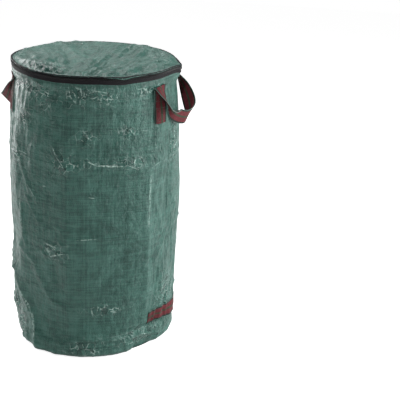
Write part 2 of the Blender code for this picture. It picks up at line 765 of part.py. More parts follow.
def main():
    """Build the bag in an empty scene."""
    clear_scene()
    collection = make_collection("leaf_bag")
    helpers = make_collection("helpers")
    cloth = make_material("green_woven_cloth", (0.055, 0.138, 0.112), 0.45)
    binding = make_material("seam_binding", (0.030, 0.060, 0.050), 0.80)
    tape = make_material("black_zip_tape", (0.018, 0.015, 0.018), 0.75)
    coil = make_material("black_zip_coil", (0.012, 0.011, 0.012), 0.40)
    webbing = make_material("red_striped_webbing", (0.290, 0.032, 0.042), 0.70)
    plastic = make_material("hoop_plastic", (0.550, 0.540, 0.500), 0.45)
    metal = make_material("slider_metal", (0.045, 0.045, 0.048), 0.35, 0.80)

    make_side_wall(cloth, collection)
    make_base_panel(cloth, collection)
    make_base_binding(binding, collection)
    make_rim_casing(cloth, collection)
    make_rim_hoop(plastic, collection)
    make_hoop_joiner(plastic, collection)
    make_fixed_zip(tape, coil, cloth, collection)
    make_lid(cloth, tape, coil, collection)
    make_slider(metal, collection, helpers)
    make_pull(metal, collection)
    make_side_tabs(webbing, collection)
    make_side_loops(webbing, collection)
    make_tip_strap(webbing, collection)


if __name__ == "__main__":
    main()
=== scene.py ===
"""The looks of a standing leaf bag: creased woven cloth, a zipped lid and striped webbing."""
import functools
import math

import bmesh
import bpy
from mathutils import Matrix, Vector, noise
from mathutils.bvhtree import BVHTree


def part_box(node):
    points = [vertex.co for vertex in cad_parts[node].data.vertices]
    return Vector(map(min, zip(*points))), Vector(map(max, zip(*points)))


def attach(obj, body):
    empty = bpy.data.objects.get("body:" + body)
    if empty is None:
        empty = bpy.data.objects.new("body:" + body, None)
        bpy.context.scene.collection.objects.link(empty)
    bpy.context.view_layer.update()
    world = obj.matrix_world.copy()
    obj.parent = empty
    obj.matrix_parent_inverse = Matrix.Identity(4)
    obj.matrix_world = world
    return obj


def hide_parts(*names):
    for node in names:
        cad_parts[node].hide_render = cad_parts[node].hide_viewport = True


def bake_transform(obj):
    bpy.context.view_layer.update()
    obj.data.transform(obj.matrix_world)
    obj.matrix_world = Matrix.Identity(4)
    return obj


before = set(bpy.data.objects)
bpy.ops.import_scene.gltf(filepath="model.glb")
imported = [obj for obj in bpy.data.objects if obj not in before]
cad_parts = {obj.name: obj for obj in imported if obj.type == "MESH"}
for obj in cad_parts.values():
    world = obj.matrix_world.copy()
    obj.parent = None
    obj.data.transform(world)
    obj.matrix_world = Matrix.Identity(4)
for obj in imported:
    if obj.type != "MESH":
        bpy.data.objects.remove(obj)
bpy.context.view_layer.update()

bl_info = {
    "name": "Leaf bag",
    "version": (1, 0, 0),
    "blender": (4, 5, 0),
    "location": "View3D > Sidebar > Leaf bag",
    "description": "Builds a zipped leaf bag of woven cloth and the studio it stands in",
    "category": "Object",
}

# How far the dark band at the zip in the photo reaches below the tape's solid, which the lower
# tape is drawn down to cover, how far the hinge lies behind the lid's edge, and how far the lid
# swings
TAPE_OVERHANG = 0.0046
HINGE_GAP = 0.0003
LID_SWING = math.radians(265.0)

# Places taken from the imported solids
BAG_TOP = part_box("lid_panel")[1].z
LID_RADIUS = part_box("lid_panel")[1].x
WALL_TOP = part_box("side_wall")[1].z
BELLY_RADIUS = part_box("side_wall")[1].x
TAPE_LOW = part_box("lower_zip_tape")[0].z - TAPE_OVERHANG
LOWER_TAPE_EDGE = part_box("lower_zip_tape")[1].z
UPPER_TAPE_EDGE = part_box("upper_zip_tape")[0].z
TAPE_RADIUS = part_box("lower_zip_tape")[1].x
COIL_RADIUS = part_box("lower_zip_coil")[1].x
LOWER_COIL = (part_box("lower_zip_coil")[0].z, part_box("lower_zip_coil")[1].z)
UPPER_COIL = (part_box("upper_zip_coil")[0].z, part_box("upper_zip_coil")[1].z)
TAB_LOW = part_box("right_front_tab")[0].z
TAB_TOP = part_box("right_front_tab")[1].z
TIP_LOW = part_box("tip_strap_front_tab")[0].z
TIP_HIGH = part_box("tip_strap_front_tab")[1].z
CASING_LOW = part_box("rim_casing")[0].z
HOOP_HEIGHT = (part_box("rim_hoop")[0].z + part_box("rim_hoop")[1].z) / 2.0
BASE_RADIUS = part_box("base_panel")[1].x
HINGE_BACK = LID_RADIUS + HINGE_GAP

# The bag's outline, as its solids have it
BELLY_HEIGHT = 0.380
FOOT_RADIUS = 0.216
NECK_RADIUS = 0.2096
NECK_HEIGHT = 0.714
RIM_RADIUS = 0.2125
CORNER = 0.014
UPPER_TAPE_TOP = BAG_TOP - 0.0014
# Half of the zip's chain and half of the hinge strip, in degrees round the rim
CHAIN_HALF = 155.0
HINGE_HALF = 10.0

# Thickness of the tapes and strips, and the width of the tape over the base seam
TAPE_THICKNESS = 0.0006
PIPING_THICKNESS = 0.0005
CASING_THICKNESS = 0.0004
BINDING_THICKNESS = 0.0008
BINDING_WIDTH = 0.020
# How far webbing lies off the wall, and how far the lid's cloth lies under the bag's top
SEAT = 0.0003
LID_SEAT = 0.0006
# How far a strip of webbing is rounded at its edges
WEBBING_ROUNDING = 0.0004
# The upright face of the lid's piping, how far it stands out, and its width laid flat
PIPING_FACE = 0.0040
PIPING_OUT = 0.0012
# The gap that the opened lid keeps to the wall behind it, and to the tape
HANGING_GAP = 0.0030
HANGING_TAPE_GAP = 0.0012
# How far the lid's pulled corner and the rim under it dip, as a share of their reach
CORNER_DIP = 0.4
# The sewn boxes on a handle's tab, each from a height up to another one
TAB_BOXES = ((TAB_LOW + 0.006, TAB_LOW + 0.040), (TAB_TOP - 0.030, TAB_TOP - 0.012))
# Length, width and height of a stitch
WEBBING_STITCH = (0.0028, 0.0006, 0.0006)
BASE_STITCH = (0.0034, 0.0006, 0.0005)
TAPE_STITCH = (0.0026, 0.0005, 0.0005)

# Upright folds from packing, each a line of heights and bearings from the front towards +X
FOLD_LINES = (
    ((0.0, -80.0), (0.75, -76.0)),
    ((0.0, -44.0), (0.28, -44.0), (0.35, -42.0), (0.41, -47.0), (0.50, -50.0), (0.75, -50.0)),
    ((0.0, -3.0), (0.34, -3.5), (0.75, -4.5)),
    ((0.0, 52.0), (0.36, 53.0), (0.51, 54.6), (0.57, 64.0), (0.75, 66.0)),
    ((0.0, 99.0), (0.75, 102.0)),
    ((0.0, 141.0), (0.75, 139.0)),
    ((0.0, 182.0), (0.75, 184.0)),
    ((0.0, 218.0), (0.75, 220.0)),
    ((0.0, 252.0), (0.75, 250.0)),
)
# How far the foot stands out from its circle, by bearing
FOOT_SHIFTS = ((-180, 0.000), (-120, 0.003), (-90, 0.003), (-70, -0.003), (-54, 0.002),
               (-38, 0.013), (-23, 0.019), (-10, 0.018), (5, 0.015), (26, 0.010), (41, 0.001),
               (48, -0.012), (56, -0.016), (62, -0.010), (68, -0.002), (85, 0.003),
               (100, 0.003), (140, -0.003), (180, 0.000))
# The pinched fold under the strap's front end, which lifts the foot off the floor
PINCH_BEARING = 56.0
PINCH_TOP = 0.09
PINCH_LIFT = 0.004
# Dents and swells: bearing, height, half width in degrees, half height, depth
DENTS = (
    (-50.0, 0.060, 10.0, 0.050, -0.0040),
    (-86.0, 0.090, 20.0, 0.050, 0.0035),
    (-80.0, 0.240, 14.0, 0.060, -0.0060),
    (-14.0, 0.215, 8.0, 0.045, -0.0020),
    (30.0, 0.240, 16.0, 0.060, -0.0030),
    (20.0, 0.100, 12.0, 0.050, -0.0025),
    (62.0, 0.035, 9.0, 0.022, 0.0050),
    (-20.0, 0.440, 9.0, 0.070, -0.0030),
    (24.0, 0.430, 17.0, 0.070, -0.0030),
    (20.0, 0.500, 13.0, 0.020, -0.0020),
    (75.0, 0.470, 8.0, 0.060, -0.0040),
    (76.0, 0.300, 7.0, 0.040, -0.0040),
    (70.0, 0.600, 7.0, 0.040, -0.0030),
    (-72.0, 0.390, 9.0, 0.080, -0.0025),
    (-64.0, 0.300, 8.0, 0.050, -0.0025),
    (-88.0, 0.270, 11.0, 0.050, -0.0020),
    (-38.0, 0.580, 9.0, 0.035, -0.0020),
    (-22.0, 0.640, 9.0, 0.030, -0.0016),
    (33.0, 0.640, 12.0, 0.035, -0.0016),
    (12.0, 0.660, 9.0, 0.030, -0.0014),
    (120.0, 0.250, 16.0, 0.080, -0.0040),
    (165.0, 0.420, 14.0, 0.100, -0.0040),
    (208.0, 0.180, 16.0, 0.070, -0.0040),
    (250.0, 0.450, 15.0, 0.090, -0.0040),
)
# Creases: height of the ridge or depth of the groove, half width, then bearings and heights
CREASES = (
    (0.0095, 0.028, (-56, 0.202), (-51.6, 0.190), (-48.2, 0.170), (-41.2, 0.137),
     (-34.6, 0.103), (-31.4, 0.074), (-28.4, 0.046), (-26.0, 0.020)),
    (0.0040, 0.020, (-72, 0.245), (-66, 0.228), (-56, 0.202)),
    (0.0036, 0.013, (-14, 0.582), (-11.6, 0.569), (-10.1, 0.555), (-7.6, 0.538), (-3.5, 0.525)),
    (0.0026, 0.012, (-3.5, 0.525), (4.0, 0.531), (10.8, 0.544), (14.0, 0.542), (16.5, 0.534),
     (36.2, 0.530), (39.0, 0.532), (45.6, 0.518), (49.5, 0.532), (53.7, 0.517), (58.2, 0.521),
     (63.2, 0.530), (65.4, 0.552)),
    (0.0024, 0.011, (-80, 0.534), (-55.0, 0.534), (-44.0, 0.522)),
    (0.0022, 0.010, (-49.0, 0.542), (-37.6, 0.538), (-32.0, 0.538), (-22.0, 0.531),
     (-12.0, 0.532)),
    (-0.0050, 0.022, (-15, 0.262), (-10.5, 0.204), (-7.0, 0.160)),
    (-0.0030, 0.020, (7.5, 0.282), (3.7, 0.226), (0.0, 0.180)),
    (0.0030, 0.014, (-12.0, 0.012), (-3.3, 0.046), (8.8, 0.057), (18.0, 0.052), (27.6, 0.051)),
    (-0.0060, 0.017, (36.0, 0.050), (41.6, 0.065), (51.7, 0.063), (60.0, 0.064), (70.0, 0.060)),
    (0.0028, 0.014, (-43.0, 0.505), (-35.1, 0.458), (-31.9, 0.443), (-26.0, 0.428)),
    (0.0026, 0.013, (-36.0, 0.428), (-29.2, 0.391), (-25.0, 0.370)),
    (0.0052, 0.012, (-41.4, 0.400), (-40.7, 0.350), (-39.8, 0.314), (-37.0, 0.290)),
    (0.0044, 0.020, (-47.0, 0.284), (-39.2, 0.275), (-30.0, 0.250), (-26.0, 0.217),
     (-20.2, 0.180), (-14.0, 0.154)),
    (0.0022, 0.012, (-33.0, 0.277), (-23.5, 0.289), (-16.1, 0.282), (-11.5, 0.291),
     (-4.3, 0.299)),
    (0.0022, 0.010, (-20.0, 0.318), (-10.0, 0.311)),
    (0.0018, 0.009, (-7.6, 0.363), (-4.9, 0.346), (-1.5, 0.337), (17.4, 0.341), (40.0, 0.336)),
    (0.0016, 0.009, (-10.6, 0.342), (-7.8, 0.325), (-4.3, 0.307)),
    (0.0036, 0.014, (63.2, 0.480), (59.3, 0.440), (60.6, 0.397), (64.1, 0.360), (66.9, 0.315)),
    (0.0036, 0.014, (80.0, 0.420), (87.1, 0.378), (93.0, 0.340)),
    (-0.0034, 0.016, (70.0, 0.330), (61.0, 0.290), (55.0, 0.255)),
    (0.0034, 0.014, (78.0, 0.345), (69.0, 0.300), (60.0, 0.262)),
    (0.0026, 0.010, (27.6, 0.051), (33.4, 0.048), (37.2, 0.035), (39.0, 0.006)),
    (0.0034, 0.012, (45.1, 0.043), (59.0, 0.035), (74.0, 0.027)),
    (0.0018, 0.009, (-31.0, 0.705), (-26.2, 0.691), (-22.4, 0.676)),
    (0.0016, 0.009, (31.4, 0.580), (33.4, 0.560), (36.5, 0.538)),
    (0.0018, 0.010, (-60.0, 0.600), (-52.6, 0.578), (-48.3, 0.556), (-45.0, 0.540)),
    (0.0040, 0.012, (-100.0, 0.084), (-66.0, 0.082), (-45.1, 0.086), (-33.8, 0.106)),
    (0.0026, 0.009, (-56.0, 0.070), (-52.0, 0.040), (-44.0, 0.012)),
    (0.0026, 0.009, (-48.0, 0.075), (-44.0, 0.045), (-37.0, 0.020)),
    (0.0022, 0.009, (-62.0, 0.150), (-58.0, 0.115), (-57.0, 0.086)),
    (0.0022, 0.009, (-52.0, 0.150), (-47.0, 0.120), (-45.0, 0.090)),
    (0.0026, 0.012, (74.0, 0.540), (110.0, 0.528), (150.0, 0.534), (200.0, 0.527),
     (240.0, 0.533), (280.0, 0.530)),
    (0.0022, 0.012, (90.0, 0.338), (130.0, 0.332), (180.0, 0.337), (230.0, 0.331),
     (268.0, 0.336)),
    (0.0022, 0.012, (95.0, 0.135), (140.0, 0.130), (190.0, 0.136), (240.0, 0.131),
     (276.0, 0.135)),
    (0.0034, 0.014, (112.0, 0.480), (121.0, 0.430), (128.0, 0.350)),
    (0.0034, 0.014, (165.0, 0.300), (176.0, 0.250), (190.0, 0.215)),
    (0.0034, 0.014, (222.0, 0.620), (231.0, 0.560), (246.0, 0.530)),
    (0.0040, 0.020, (245.0, 0.030), (252.0, 0.110), (262.0, 0.160)),
)
# Places where the cloth is crumpled, where its finish also paints pale glints and lighter and
# darker facets: bearing, height, half width in degrees, half height
CRUMPLES = (
    (-22.0, 0.695, 13.0, 0.026), (4.0, 0.712, 9.0, 0.026), (22.0, 0.706, 9.0, 0.020),
    (-50.0, 0.712, 9.0, 0.018), (64.0, 0.716, 9.0, 0.012), (-33.0, 0.722, 8.0, 0.012),
    (50.0, 0.716, 7.0, 0.012), (-40.0, 0.640, 8.0, 0.030), (38.0, 0.612, 7.0, 0.018),
    (10.0, 0.604, 7.0, 0.018), (-8.0, 0.535, 8.0, 0.028), (6.0, 0.538, 9.0, 0.014),
    (-50.0, 0.528, 9.0, 0.016), (40.0, 0.535, 12.0, 0.014), (-12.0, 0.295, 9.0, 0.024),
    (22.0, 0.134, 12.0, 0.014), (10.0, 0.028, 13.0, 0.022), (-48.0, 0.050, 9.0, 0.045),
    (50.0, 0.040, 15.0, 0.026), (84.0, 0.560, 9.0, 0.050),
    (75.0, 0.130, 10.0, 0.060), (120.0, 0.702, 12.0, 0.014), (168.0, 0.532, 13.0, 0.011),
    (214.0, 0.700, 10.0, 0.014), (243.0, 0.337, 12.0, 0.012), (150.0, 0.134, 13.0, 0.012),
    (-60.0, 0.100, 9.0, 0.045), (196.0, 0.034, 13.0, 0.018),
)
# Upright pleats where the cloth was folded together: bearing, half width in degrees, depth
PLEATS = (
    (76.0, 20.0, 0.0036), (-66.0, 15.0, 0.0026), (14.0, 26.0, 0.0008), (-26.0, 18.0, 0.0010),
    (160.0, 22.0, 0.0026), (-125.0, 20.0, 0.0026),
)
# Creases painted pale, partly as whitened cloth and partly as painted glints and highlights on
# their ridges: strength, half width, first bearing and height, last ones
PALE_LINES = (
    (1.0, 0.0018, -13.6, 0.579, -10.1, 0.555), (0.8, 0.0011, -10.1, 0.555, -3.5, 0.525),
    (0.9, 0.0015, 10.4, 0.545, 16.5, 0.535), (1.2, 0.0021, 15.8, 0.534, 31.0, 0.5325),
    (0.9, 0.0015, 29.0, 0.5325, 37.0, 0.530), (0.7, 0.0012, 38.0, 0.533, 45.6, 0.518),
    (0.5, 0.0011, 43.3, 0.533, 50.0, 0.531), (0.5, 0.0011, 53.7, 0.517, 63.2, 0.530),
    (0.9, 0.0022, -57.0, 0.535, -44.0, 0.522), (0.6, 0.0013, -49.0, 0.542, -34.0, 0.538),
    (0.8, 0.0010, 3.0, 0.3390, 18.0, 0.3415), (1.0, 0.0019, -18.8, 0.3165, -10.2, 0.3115),
    (0.9, 0.0019, -16.3, 0.281, -9.5, 0.293), (0.9, 0.0019, -10.0, 0.293, -4.0, 0.2995),
    (0.5, 0.0030, -49.0, 0.655, -49.1, 0.550), (0.6, 0.0032, -55.0, 0.186, -39.3, 0.134),
    (0.7, 0.0032, -40.0, 0.136, -33.8, 0.109), (0.7, 0.0034, -34.2, 0.112, -26.8, 0.028),
    (0.6, 0.0009, 49.8, 0.615, 55.8, 0.611), (0.8, 0.0015, 13.8, 0.7245, 20.3, 0.7205),
    (0.8, 0.0015, 19.6, 0.7215, 25.0, 0.7155), (0.9, 0.0014, 20.0, 0.7045, 28.6, 0.7015),
    (0.5, 0.0007, -36.8, 0.7020, -7.1, 0.7200), (0.8, 0.0016, -2.7, 0.7330, -1.6, 0.7100),
    (0.8, 0.0016, -0.2, 0.7240, 2.6, 0.7040), (0.9, 0.0018, 5.3, 0.7350, 6.5, 0.7080),
    (0.7, 0.0012, 8.4, 0.7200, 10.5, 0.7080), (0.7, 0.0012, 10.5, 0.7080, 12.5, 0.7240),
    (0.8, 0.0030, 48.3, 0.7250, 53.5, 0.7150), (0.5, 0.0030, 51.5, 0.7100, 57.0, 0.7130),
    (0.9, 0.0019, 8.0, 0.6105, 13.3, 0.5980), (0.6, 0.0015, 37.0, 0.6090, 39.9, 0.6160),
    (0.7, 0.0012, 10.3, 0.4530, 15.5, 0.4495), (0.6, 0.0012, -21.9, 0.4680, -18.6, 0.4710),
    (0.8, 0.0017, 12.9, 0.1440, 14.3, 0.1180), (0.9, 0.0020, 17.4, 0.1475, 21.2, 0.1375),
    (0.8, 0.0018, 26.0, 0.1335, 30.9, 0.1275), (0.8, 0.0016, 29.0, 0.1435, 34.4, 0.1345),
    (0.4, 0.0034, 54.6, 0.511, 53.3, 0.391), (0.4, 0.0030, 53.4, 0.395, 52.6, 0.360),
    (0.4, 0.0022, -41.1, 0.400, -39.6, 0.310), (0.4, 0.0018, -36.0, 0.462, -27.0, 0.430),
    (0.5, 0.0012, 27.4, 0.0515, 33.6, 0.0480), (0.4, 0.0016, 45.0, 0.043, 60.0, 0.035),
)
# Height of the rim above its level, and how far the lid's edge hangs down, by bearing
RIM_HEIGHTS = ((-180, 0.0), (-140, 0.0), (-112, -0.0010), (-84, 0.0008), (-60, 0.0012),
               (-46, 0.0006), (-28, -0.0012), (-12, -0.0018), (2, -0.0008), (18, 0.0),
               (26, -0.0014), (34, -0.0026), (42, -0.0006), (58, -0.0002), (76, 0.0010),
               (96, -0.0006), (115, -0.0012), (140, 0.0002), (150, 0.0), (180, 0.0))
LID_DROPS = ((-180, 0.0012), (-60, 0.0012), (-28, 0.0018), (-20, 0.0012), (-8, 0.0020),
             (5, 0.0016), (20, 0.0014), (28, 0.0036), (34, 0.0058), (41, 0.0040),
             (49, 0.0022), (60, 0.0026), (84, 0.0022), (100, 0.0014), (180, 0.0012))
# How far the black piping reaches in over the lid, by bearing
PIPING_WIDTHS = ((-180, 0.0022), (-110, 0.0024), (-85, 0.0050), (-62, 0.0048), (-48, 0.0022),
                 (-30, 0.0010), (0, 0.0006), (60, 0.0004), (84, 0.0008), (92, 0.0030),
                 (104, 0.0055), (118, 0.0024), (180, 0.0022))
# Where the lid's edge is pulled out or in: bearing, half width in degrees, reach
LID_CORNERS = ((94.0, 6.0, 0.0110), (114.0, 11.0, -0.0025), (-80.0, 14.0, 0.0040),
               (-112.0, 12.0, -0.0025))


def smooth(share):
    """Ease a share from 0 to 1."""
    share = min(1.0, max(0.0, share))
    return share * share * (3.0 - 2.0 * share)


def turn_between(bearing, other):
    """Return the angle from one bearing to another, in degrees, the short way round."""
    return (bearing - other + 180.0) % 360.0 - 180.0


def barrel_radius(height):
    """Return the radius of the bag's plain outline at a height."""
    if height <= BELLY_HEIGHT:
        share = (BELLY_HEIGHT - height) / BELLY_HEIGHT
        return BELLY_RADIUS - (BELLY_RADIUS - FOOT_RADIUS) * share ** 2
    if height <= NECK_HEIGHT:
        share = (height - BELLY_HEIGHT) / (NECK_HEIGHT - BELLY_HEIGHT)
        return BELLY_RADIUS - (BELLY_RADIUS - NECK_RADIUS) * share ** 2
    ease = smooth((height - NECK_HEIGHT) / (CASING_LOW - NECK_HEIGHT))
    return NECK_RADIUS + (RIM_RADIUS - NECK_RADIUS) * ease


def along_table(table, place):
    """Return the value of a table of places and values, eased from one to the next."""
    for (low, first), (high, last) in zip(table, table[1:]):
        if low <= place <= high:
            return first + (last - first) * smooth((place - low) / (high - low))
    return table[-1][1]


def at_bearing(table, bearing):
    """Return the value of a table of bearings and values."""
    return along_table(table, turn_between(bearing, 0.0))


def noise_at(*place):
    """Return the soft noise at a place."""
    return noise.noise(Vector(place))


def ridges(place):
    """Return a noise with sharp ridges, which is 1 on top of them."""
    return 1.0 - 2.2 * abs(noise.noise(place))


def patch_share(bearing, height, middle, level, half_width, half_height):
    """Return 1 in the middle of a patch of the wall, fading out round it."""
    across = turn_between(bearing, middle) / half_width
    up = (height - level) / half_height
    return math.exp(-across * across - up * up)


def facet_shift(bearing, height):
    """Return how far the cloth is drawn in between two upright folds: 0 at a fold."""
    lines = [along_table(line, min(height, 0.75)) for line in FOLD_LINES]
    for low, high in zip(lines, lines[1:] + [lines[0] + 360.0]):
        half = (high - low) / 2.0
        off = turn_between(bearing, (low + high) / 2.0) / half
        if abs(off) <= 1.0:
            flat = BELLY_RADIUS * (1.0 - math.cos(math.radians(half)))
            return 0.46 * flat * (abs(off) ** 2.2 - 1.0)
    return 0.0


def crumple_at(bearing, height):
    """Return how crumpled the cloth is at a place, from 0 to 1."""
    return min(1.0, sum(patch_share(bearing, height, *patch) for patch in CRUMPLES))


def pleats_at(bearing, height):
    """Return how pleated the cloth is at a place, as a depth in metres."""
    high = 1.0 - smooth((height - 0.66) / 0.06)
    total = 0.0
    for middle, half_width, depth in PLEATS:
        total += depth * math.exp(-(turn_between(bearing, middle) / half_width) ** 4)
    return total * high * smooth((height - 0.01) / 0.05)


def line_distance(spot, first, last):
    """Return the distance from a flat point to a line between two others."""
    along = last - first
    share = min(1.0, max(0.0, (spot - first).dot(along) / along.length_squared))
    return (spot - first - along * share).length


def crease_shift(bearing, height):
    """Return the ridges and grooves of the creases at a place."""
    total = 0.0
    metre = math.radians(1.0) * BELLY_RADIUS
    for depth, width, *line in CREASES:
        levels = [level for place, level in line]
        if not min(levels) - width < height < max(levels) + width:
            continue
        near = None
        for (first_turn, first_level), (last_turn, last_level) in zip(line, line[1:]):
            middle = (first_turn + last_turn) / 2.0
            reach = abs(last_turn - first_turn) / 2.0 + math.degrees(width / BELLY_RADIUS)
            off = turn_between(bearing, middle)
            if abs(off) < reach:
                spot = Vector((off * metre, height))
                first = Vector(((first_turn - middle) * metre, first_level))
                last = Vector(((last_turn - middle) * metre, last_level))
                far = line_distance(spot, first, last)
                near = far if near is None else min(near, far)
        if near is not None and near < width:
            total += depth * (1.0 - near / width) ** 1.5
    return total


def wall_shift(bearing, height):
    """Return how far the real cloth stands out from the bag's plain outline."""
    middle = smooth(height / 0.12) * (1.0 - smooth((height - 0.60) / 0.12))
    free = 1.0 - 0.85 * smooth((height - 0.68) / 0.04)
    shift = at_bearing(FOOT_SHIFTS, bearing) * (1.0 - smooth(height / 0.11))
    shift += middle * (facet_shift(bearing, height) + 0.0024)
    shift += crease_shift(bearing, height) * free + rim_pull(bearing, height)
    for *patch, depth in DENTS:
        shift += depth * patch_share(bearing, height, *patch) * free
    angle = math.radians(bearing)
    spot = Vector((math.sin(angle), -math.cos(angle), height * 2.4))
    shift += 0.0028 * free * noise.fractal(spot * 2.6, 1.0, 2.0, 4)
    gathers = noise_at(bearing / 2.6, height * 9.0, 6.0)
    gathers += 0.6 * noise_at(bearing / 1.1, height * 14.0, 2.0)
    shift += 0.0015 * gathers * math.exp(-((height - 0.7215) / 0.0125) ** 2)
    lean = turn_between(bearing, 180.0) - 26.0 * (height - 0.4)
    pleat = ridges(Vector((lean / 4.6, height * 5.5, 4.0)))
    pleat += 0.5 * ridges(Vector((lean / 2.3, height * 9.0, 7.0)))
    shift += pleats_at(bearing, height) * pleat
    rough = crumple_at(bearing, height)
    crinkle = 1.0 - 2.0 * abs(noise.noise(spot * 11.0 + Vector((3.1, 0.7, 8.2))))
    shift += 0.0030 * free * (0.20 + 0.80 * rough) * crinkle
    return shift


@functools.lru_cache
def wall_tree():
    """Return a search tree of the settled wall."""
    wall = bpy.data.objects.get("bag_wall")
    if wall is None:
        raise RuntimeError("Build the side wall first: this piece lies on it")
    faces = [tuple(face.vertices) for face in wall.data.polygons]
    return BVHTree.FromPolygons([vert.co for vert in wall.data.vertices], faces)


def wall_point(bearing, height, outset=0.0):
    """Return a point a set distance outside the settled wall."""
    heading = rim_point(bearing, 1.0, 0.0)
    spot = wall_tree().ray_cast(Vector((0.0, 0.0, height)), heading)[0]
    return spot + heading * outset


def rim_point(bearing, radius, height):
    """Return a point round the rim."""
    angle = math.radians(bearing)
    return Vector((radius * math.sin(angle), -radius * math.cos(angle), height))


def rim_wave(bearing):
    """Return how far the rim's edge rises or falls."""
    angle = math.radians(bearing)
    ripple = 0.0005 * noise.noise(Vector((math.sin(angle), math.cos(angle), 0.3)) * 2.2)
    return at_bearing(RIM_HEIGHTS, bearing) + ripple


# Mesh helpers

# Points nearer to each other than this are joined
WELD_DISTANCE = 0.00002
# How the cloth of the wall and the lid behaves while it settles, and for how long it does
SETTLE_FRAMES = 12
CLOTH_NATURE = {
    "quality": 5,
    "mass": 0.02,
    "tension_stiffness": 25.0,
    "compression_stiffness": 25.0,
    "shear_stiffness": 8.0,
    "bending_stiffness": 0.05,
    "pin_stiffness": 1.0,
}


def mapped_grid(columns, rows, place, flat):
    """Return a bmesh grid, each point placed by its two shares, with a flat cutting pattern.

    place and flat take the share across and the share along; flat gives metres of cloth.
    """
    shape = bmesh.new()
    bmesh.ops.create_grid(shape, x_segments=columns, y_segments=rows, size=0.5)
    pattern = shape.loops.layers.uv.new("cloth")
    for face in shape.faces:
        for corner in face.loops:
            corner[pattern].uv = flat(corner.vert.co.x + 0.5, corner.vert.co.y + 0.5)
    for vert in shape.verts:
        vert.co = place(vert.co.x + 0.5, vert.co.y + 0.5)
    return shape


def finish_piece(name, shape, look, body):
    """Make a bmesh an object of the bag, with its normals out, its finish and its body."""
    bmesh.ops.remove_doubles(shape, verts=shape.verts, dist=WELD_DISTANCE)
    bmesh.ops.recalc_face_normals(shape, faces=shape.faces)
    mesh = bpy.data.meshes.new(name)
    shape.to_mesh(mesh)
    shape.free()
    mesh.materials.append(finish(look))
    mesh.shade_smooth()
    piece = bpy.data.objects.new(name, mesh)
    bpy.context.scene.collection.objects.link(piece)
    if body:
        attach(piece, body)
    return piece


def thicken(piece, thickness, offset=-1.0, inner=0):
    """Give a sheet its thickness."""
    solid = piece.modifiers.new("thickness", "SOLIDIFY")
    solid.thickness = thickness
    solid.offset = offset
    solid.use_even_offset = True
    solid.material_offset = inner


def settle(piece, held, slack, weight=1.0):
    """Let a sheet of cloth buckle and hang, then keep the shape it takes.

    held gives how firmly each point is held, and slack is the share by which the cloth is
    larger than its shape.
    """
    group = piece.vertex_groups.new(name="held")
    for vert in piece.data.vertices:
        firm = held(vert.co)
        if firm > 0.0:
            group.add([vert.index], firm, "REPLACE")
    buckle = piece.modifiers.new("settle", "CLOTH")
    buckle.point_cache.frame_start = 1
    buckle.point_cache.frame_end = SETTLE_FRAMES
    for name, value in CLOTH_NATURE.items():
        setattr(buckle.settings, name, value)
    buckle.settings.vertex_group_mass = "held"
    buckle.settings.shrink_min = -slack
    buckle.settings.effector_weights.gravity = weight
    buckle.collision_settings.use_collision = False
    scene = bpy.context.scene
    for step in range(1, SETTLE_FRAMES + 1):
        scene.frame_set(step)
    depsgraph = bpy.context.evaluated_depsgraph_get()
    settled = bpy.data.meshes.new_from_object(piece.evaluated_get(depsgraph))
    for vert, place in zip(piece.data.vertices, settled.vertices):
        vert.co = place.co
    piece.modifiers.remove(buckle)
    piece.vertex_groups.remove(group)
    bpy.data.meshes.remove(settled)
    scene.frame_set(1)


def capsule(length, width, height):
    """Return a small rounded six-sided bar along X, as a mesh: a stitch or a zip tooth."""
    shape = bmesh.new()
    bmesh.ops.create_cone(shape, cap_ends=True, segments=6, radius1=0.5, radius2=0.5, depth=1.0)
    bmesh.ops.rotate(shape, verts=shape.verts, cent=Vector(),
                     matrix=Matrix.Rotation(math.pi / 2.0, 3, "Y"))
    ends = [face for face in shape.faces if len(face.verts) == 6]
    bmesh.ops.inset_individual(shape, faces=ends, thickness=0.22, depth=0.0)
    bmesh.ops.scale(shape, vec=(1.0, height, width), verts=shape.verts)
    for vert in shape.verts:
        rounded = vert.co.yz.length > 0.25 * (height + width)
        vert.co.x *= length if not rounded else max(length - 0.7 * height, 0.3 * length)
    bmesh.ops.recalc_face_normals(shape, faces=shape.faces)
    mesh = bpy.data.meshes.new("unit")
    shape.to_mesh(mesh)
    shape.free()
    return mesh


def repeat(unit, places):
    """Return a bmesh with a copy of a small mesh at each place."""
    shape = bmesh.new()
    for place in places:
        copy = unit.copy()
        copy.transform(place)
        shape.from_mesh(copy)
        bpy.data.meshes.remove(copy)
    bpy.data.meshes.remove(unit)
    return shape


def set_frame(along, outward, place):
    """Return the matrix that lays X along a line and Y outwards at a place."""
    along = along.normalized()
    outward = (outward - along * outward.dot(along)).normalized()
    side = along.cross(outward)
    turn = Matrix((along, outward, side)).transposed().to_4x4()
    turn.translation = place
    return turn


def stitch_places(points, outward, pitch):
    """Return a place for each stitch of a seam that runs through points."""
    places = []
    spare = pitch / 2.0
    for start, end in zip(points, points[1:]):
        step = end - start
        while spare < step.length:
            spot = start + step * (spare / step.length)
            places.append(set_frame(step, outward(spot), spot))
            spare += pitch
        spare -= step.length
    return places


def away_from_axis(spot):
    """Return the level direction away from the bag's axis."""
    return Vector((spot.x, spot.y, 0.0))


def sew(name, places, stitch, thread, body):
    """Add a piece that has a stitch at each place."""
    finish_piece(name, repeat(capsule(*stitch), places), thread, body)


def webbing_piece(name, shape, settings, body):
    """Make a bmesh strip a piece of webbing, with its thickness and its soft edges."""
    piece = finish_piece(name, shape, "red_striped_webbing", body)
    thicken(piece, settings.webbing_thickness, offset=0.0)
    soften = piece.modifiers.new("soft edge", "BEVEL")
    soften.width = WEBBING_ROUNDING
    soften.segments = 2
    soften.limit_method = "ANGLE"
    return piece


def refinish(nodes, look):
    """Give solids that stay in view another finish."""
    for node in nodes:
        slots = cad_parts[node].data.materials
        slots.clear()
        slots.append(finish(look))


# Materials


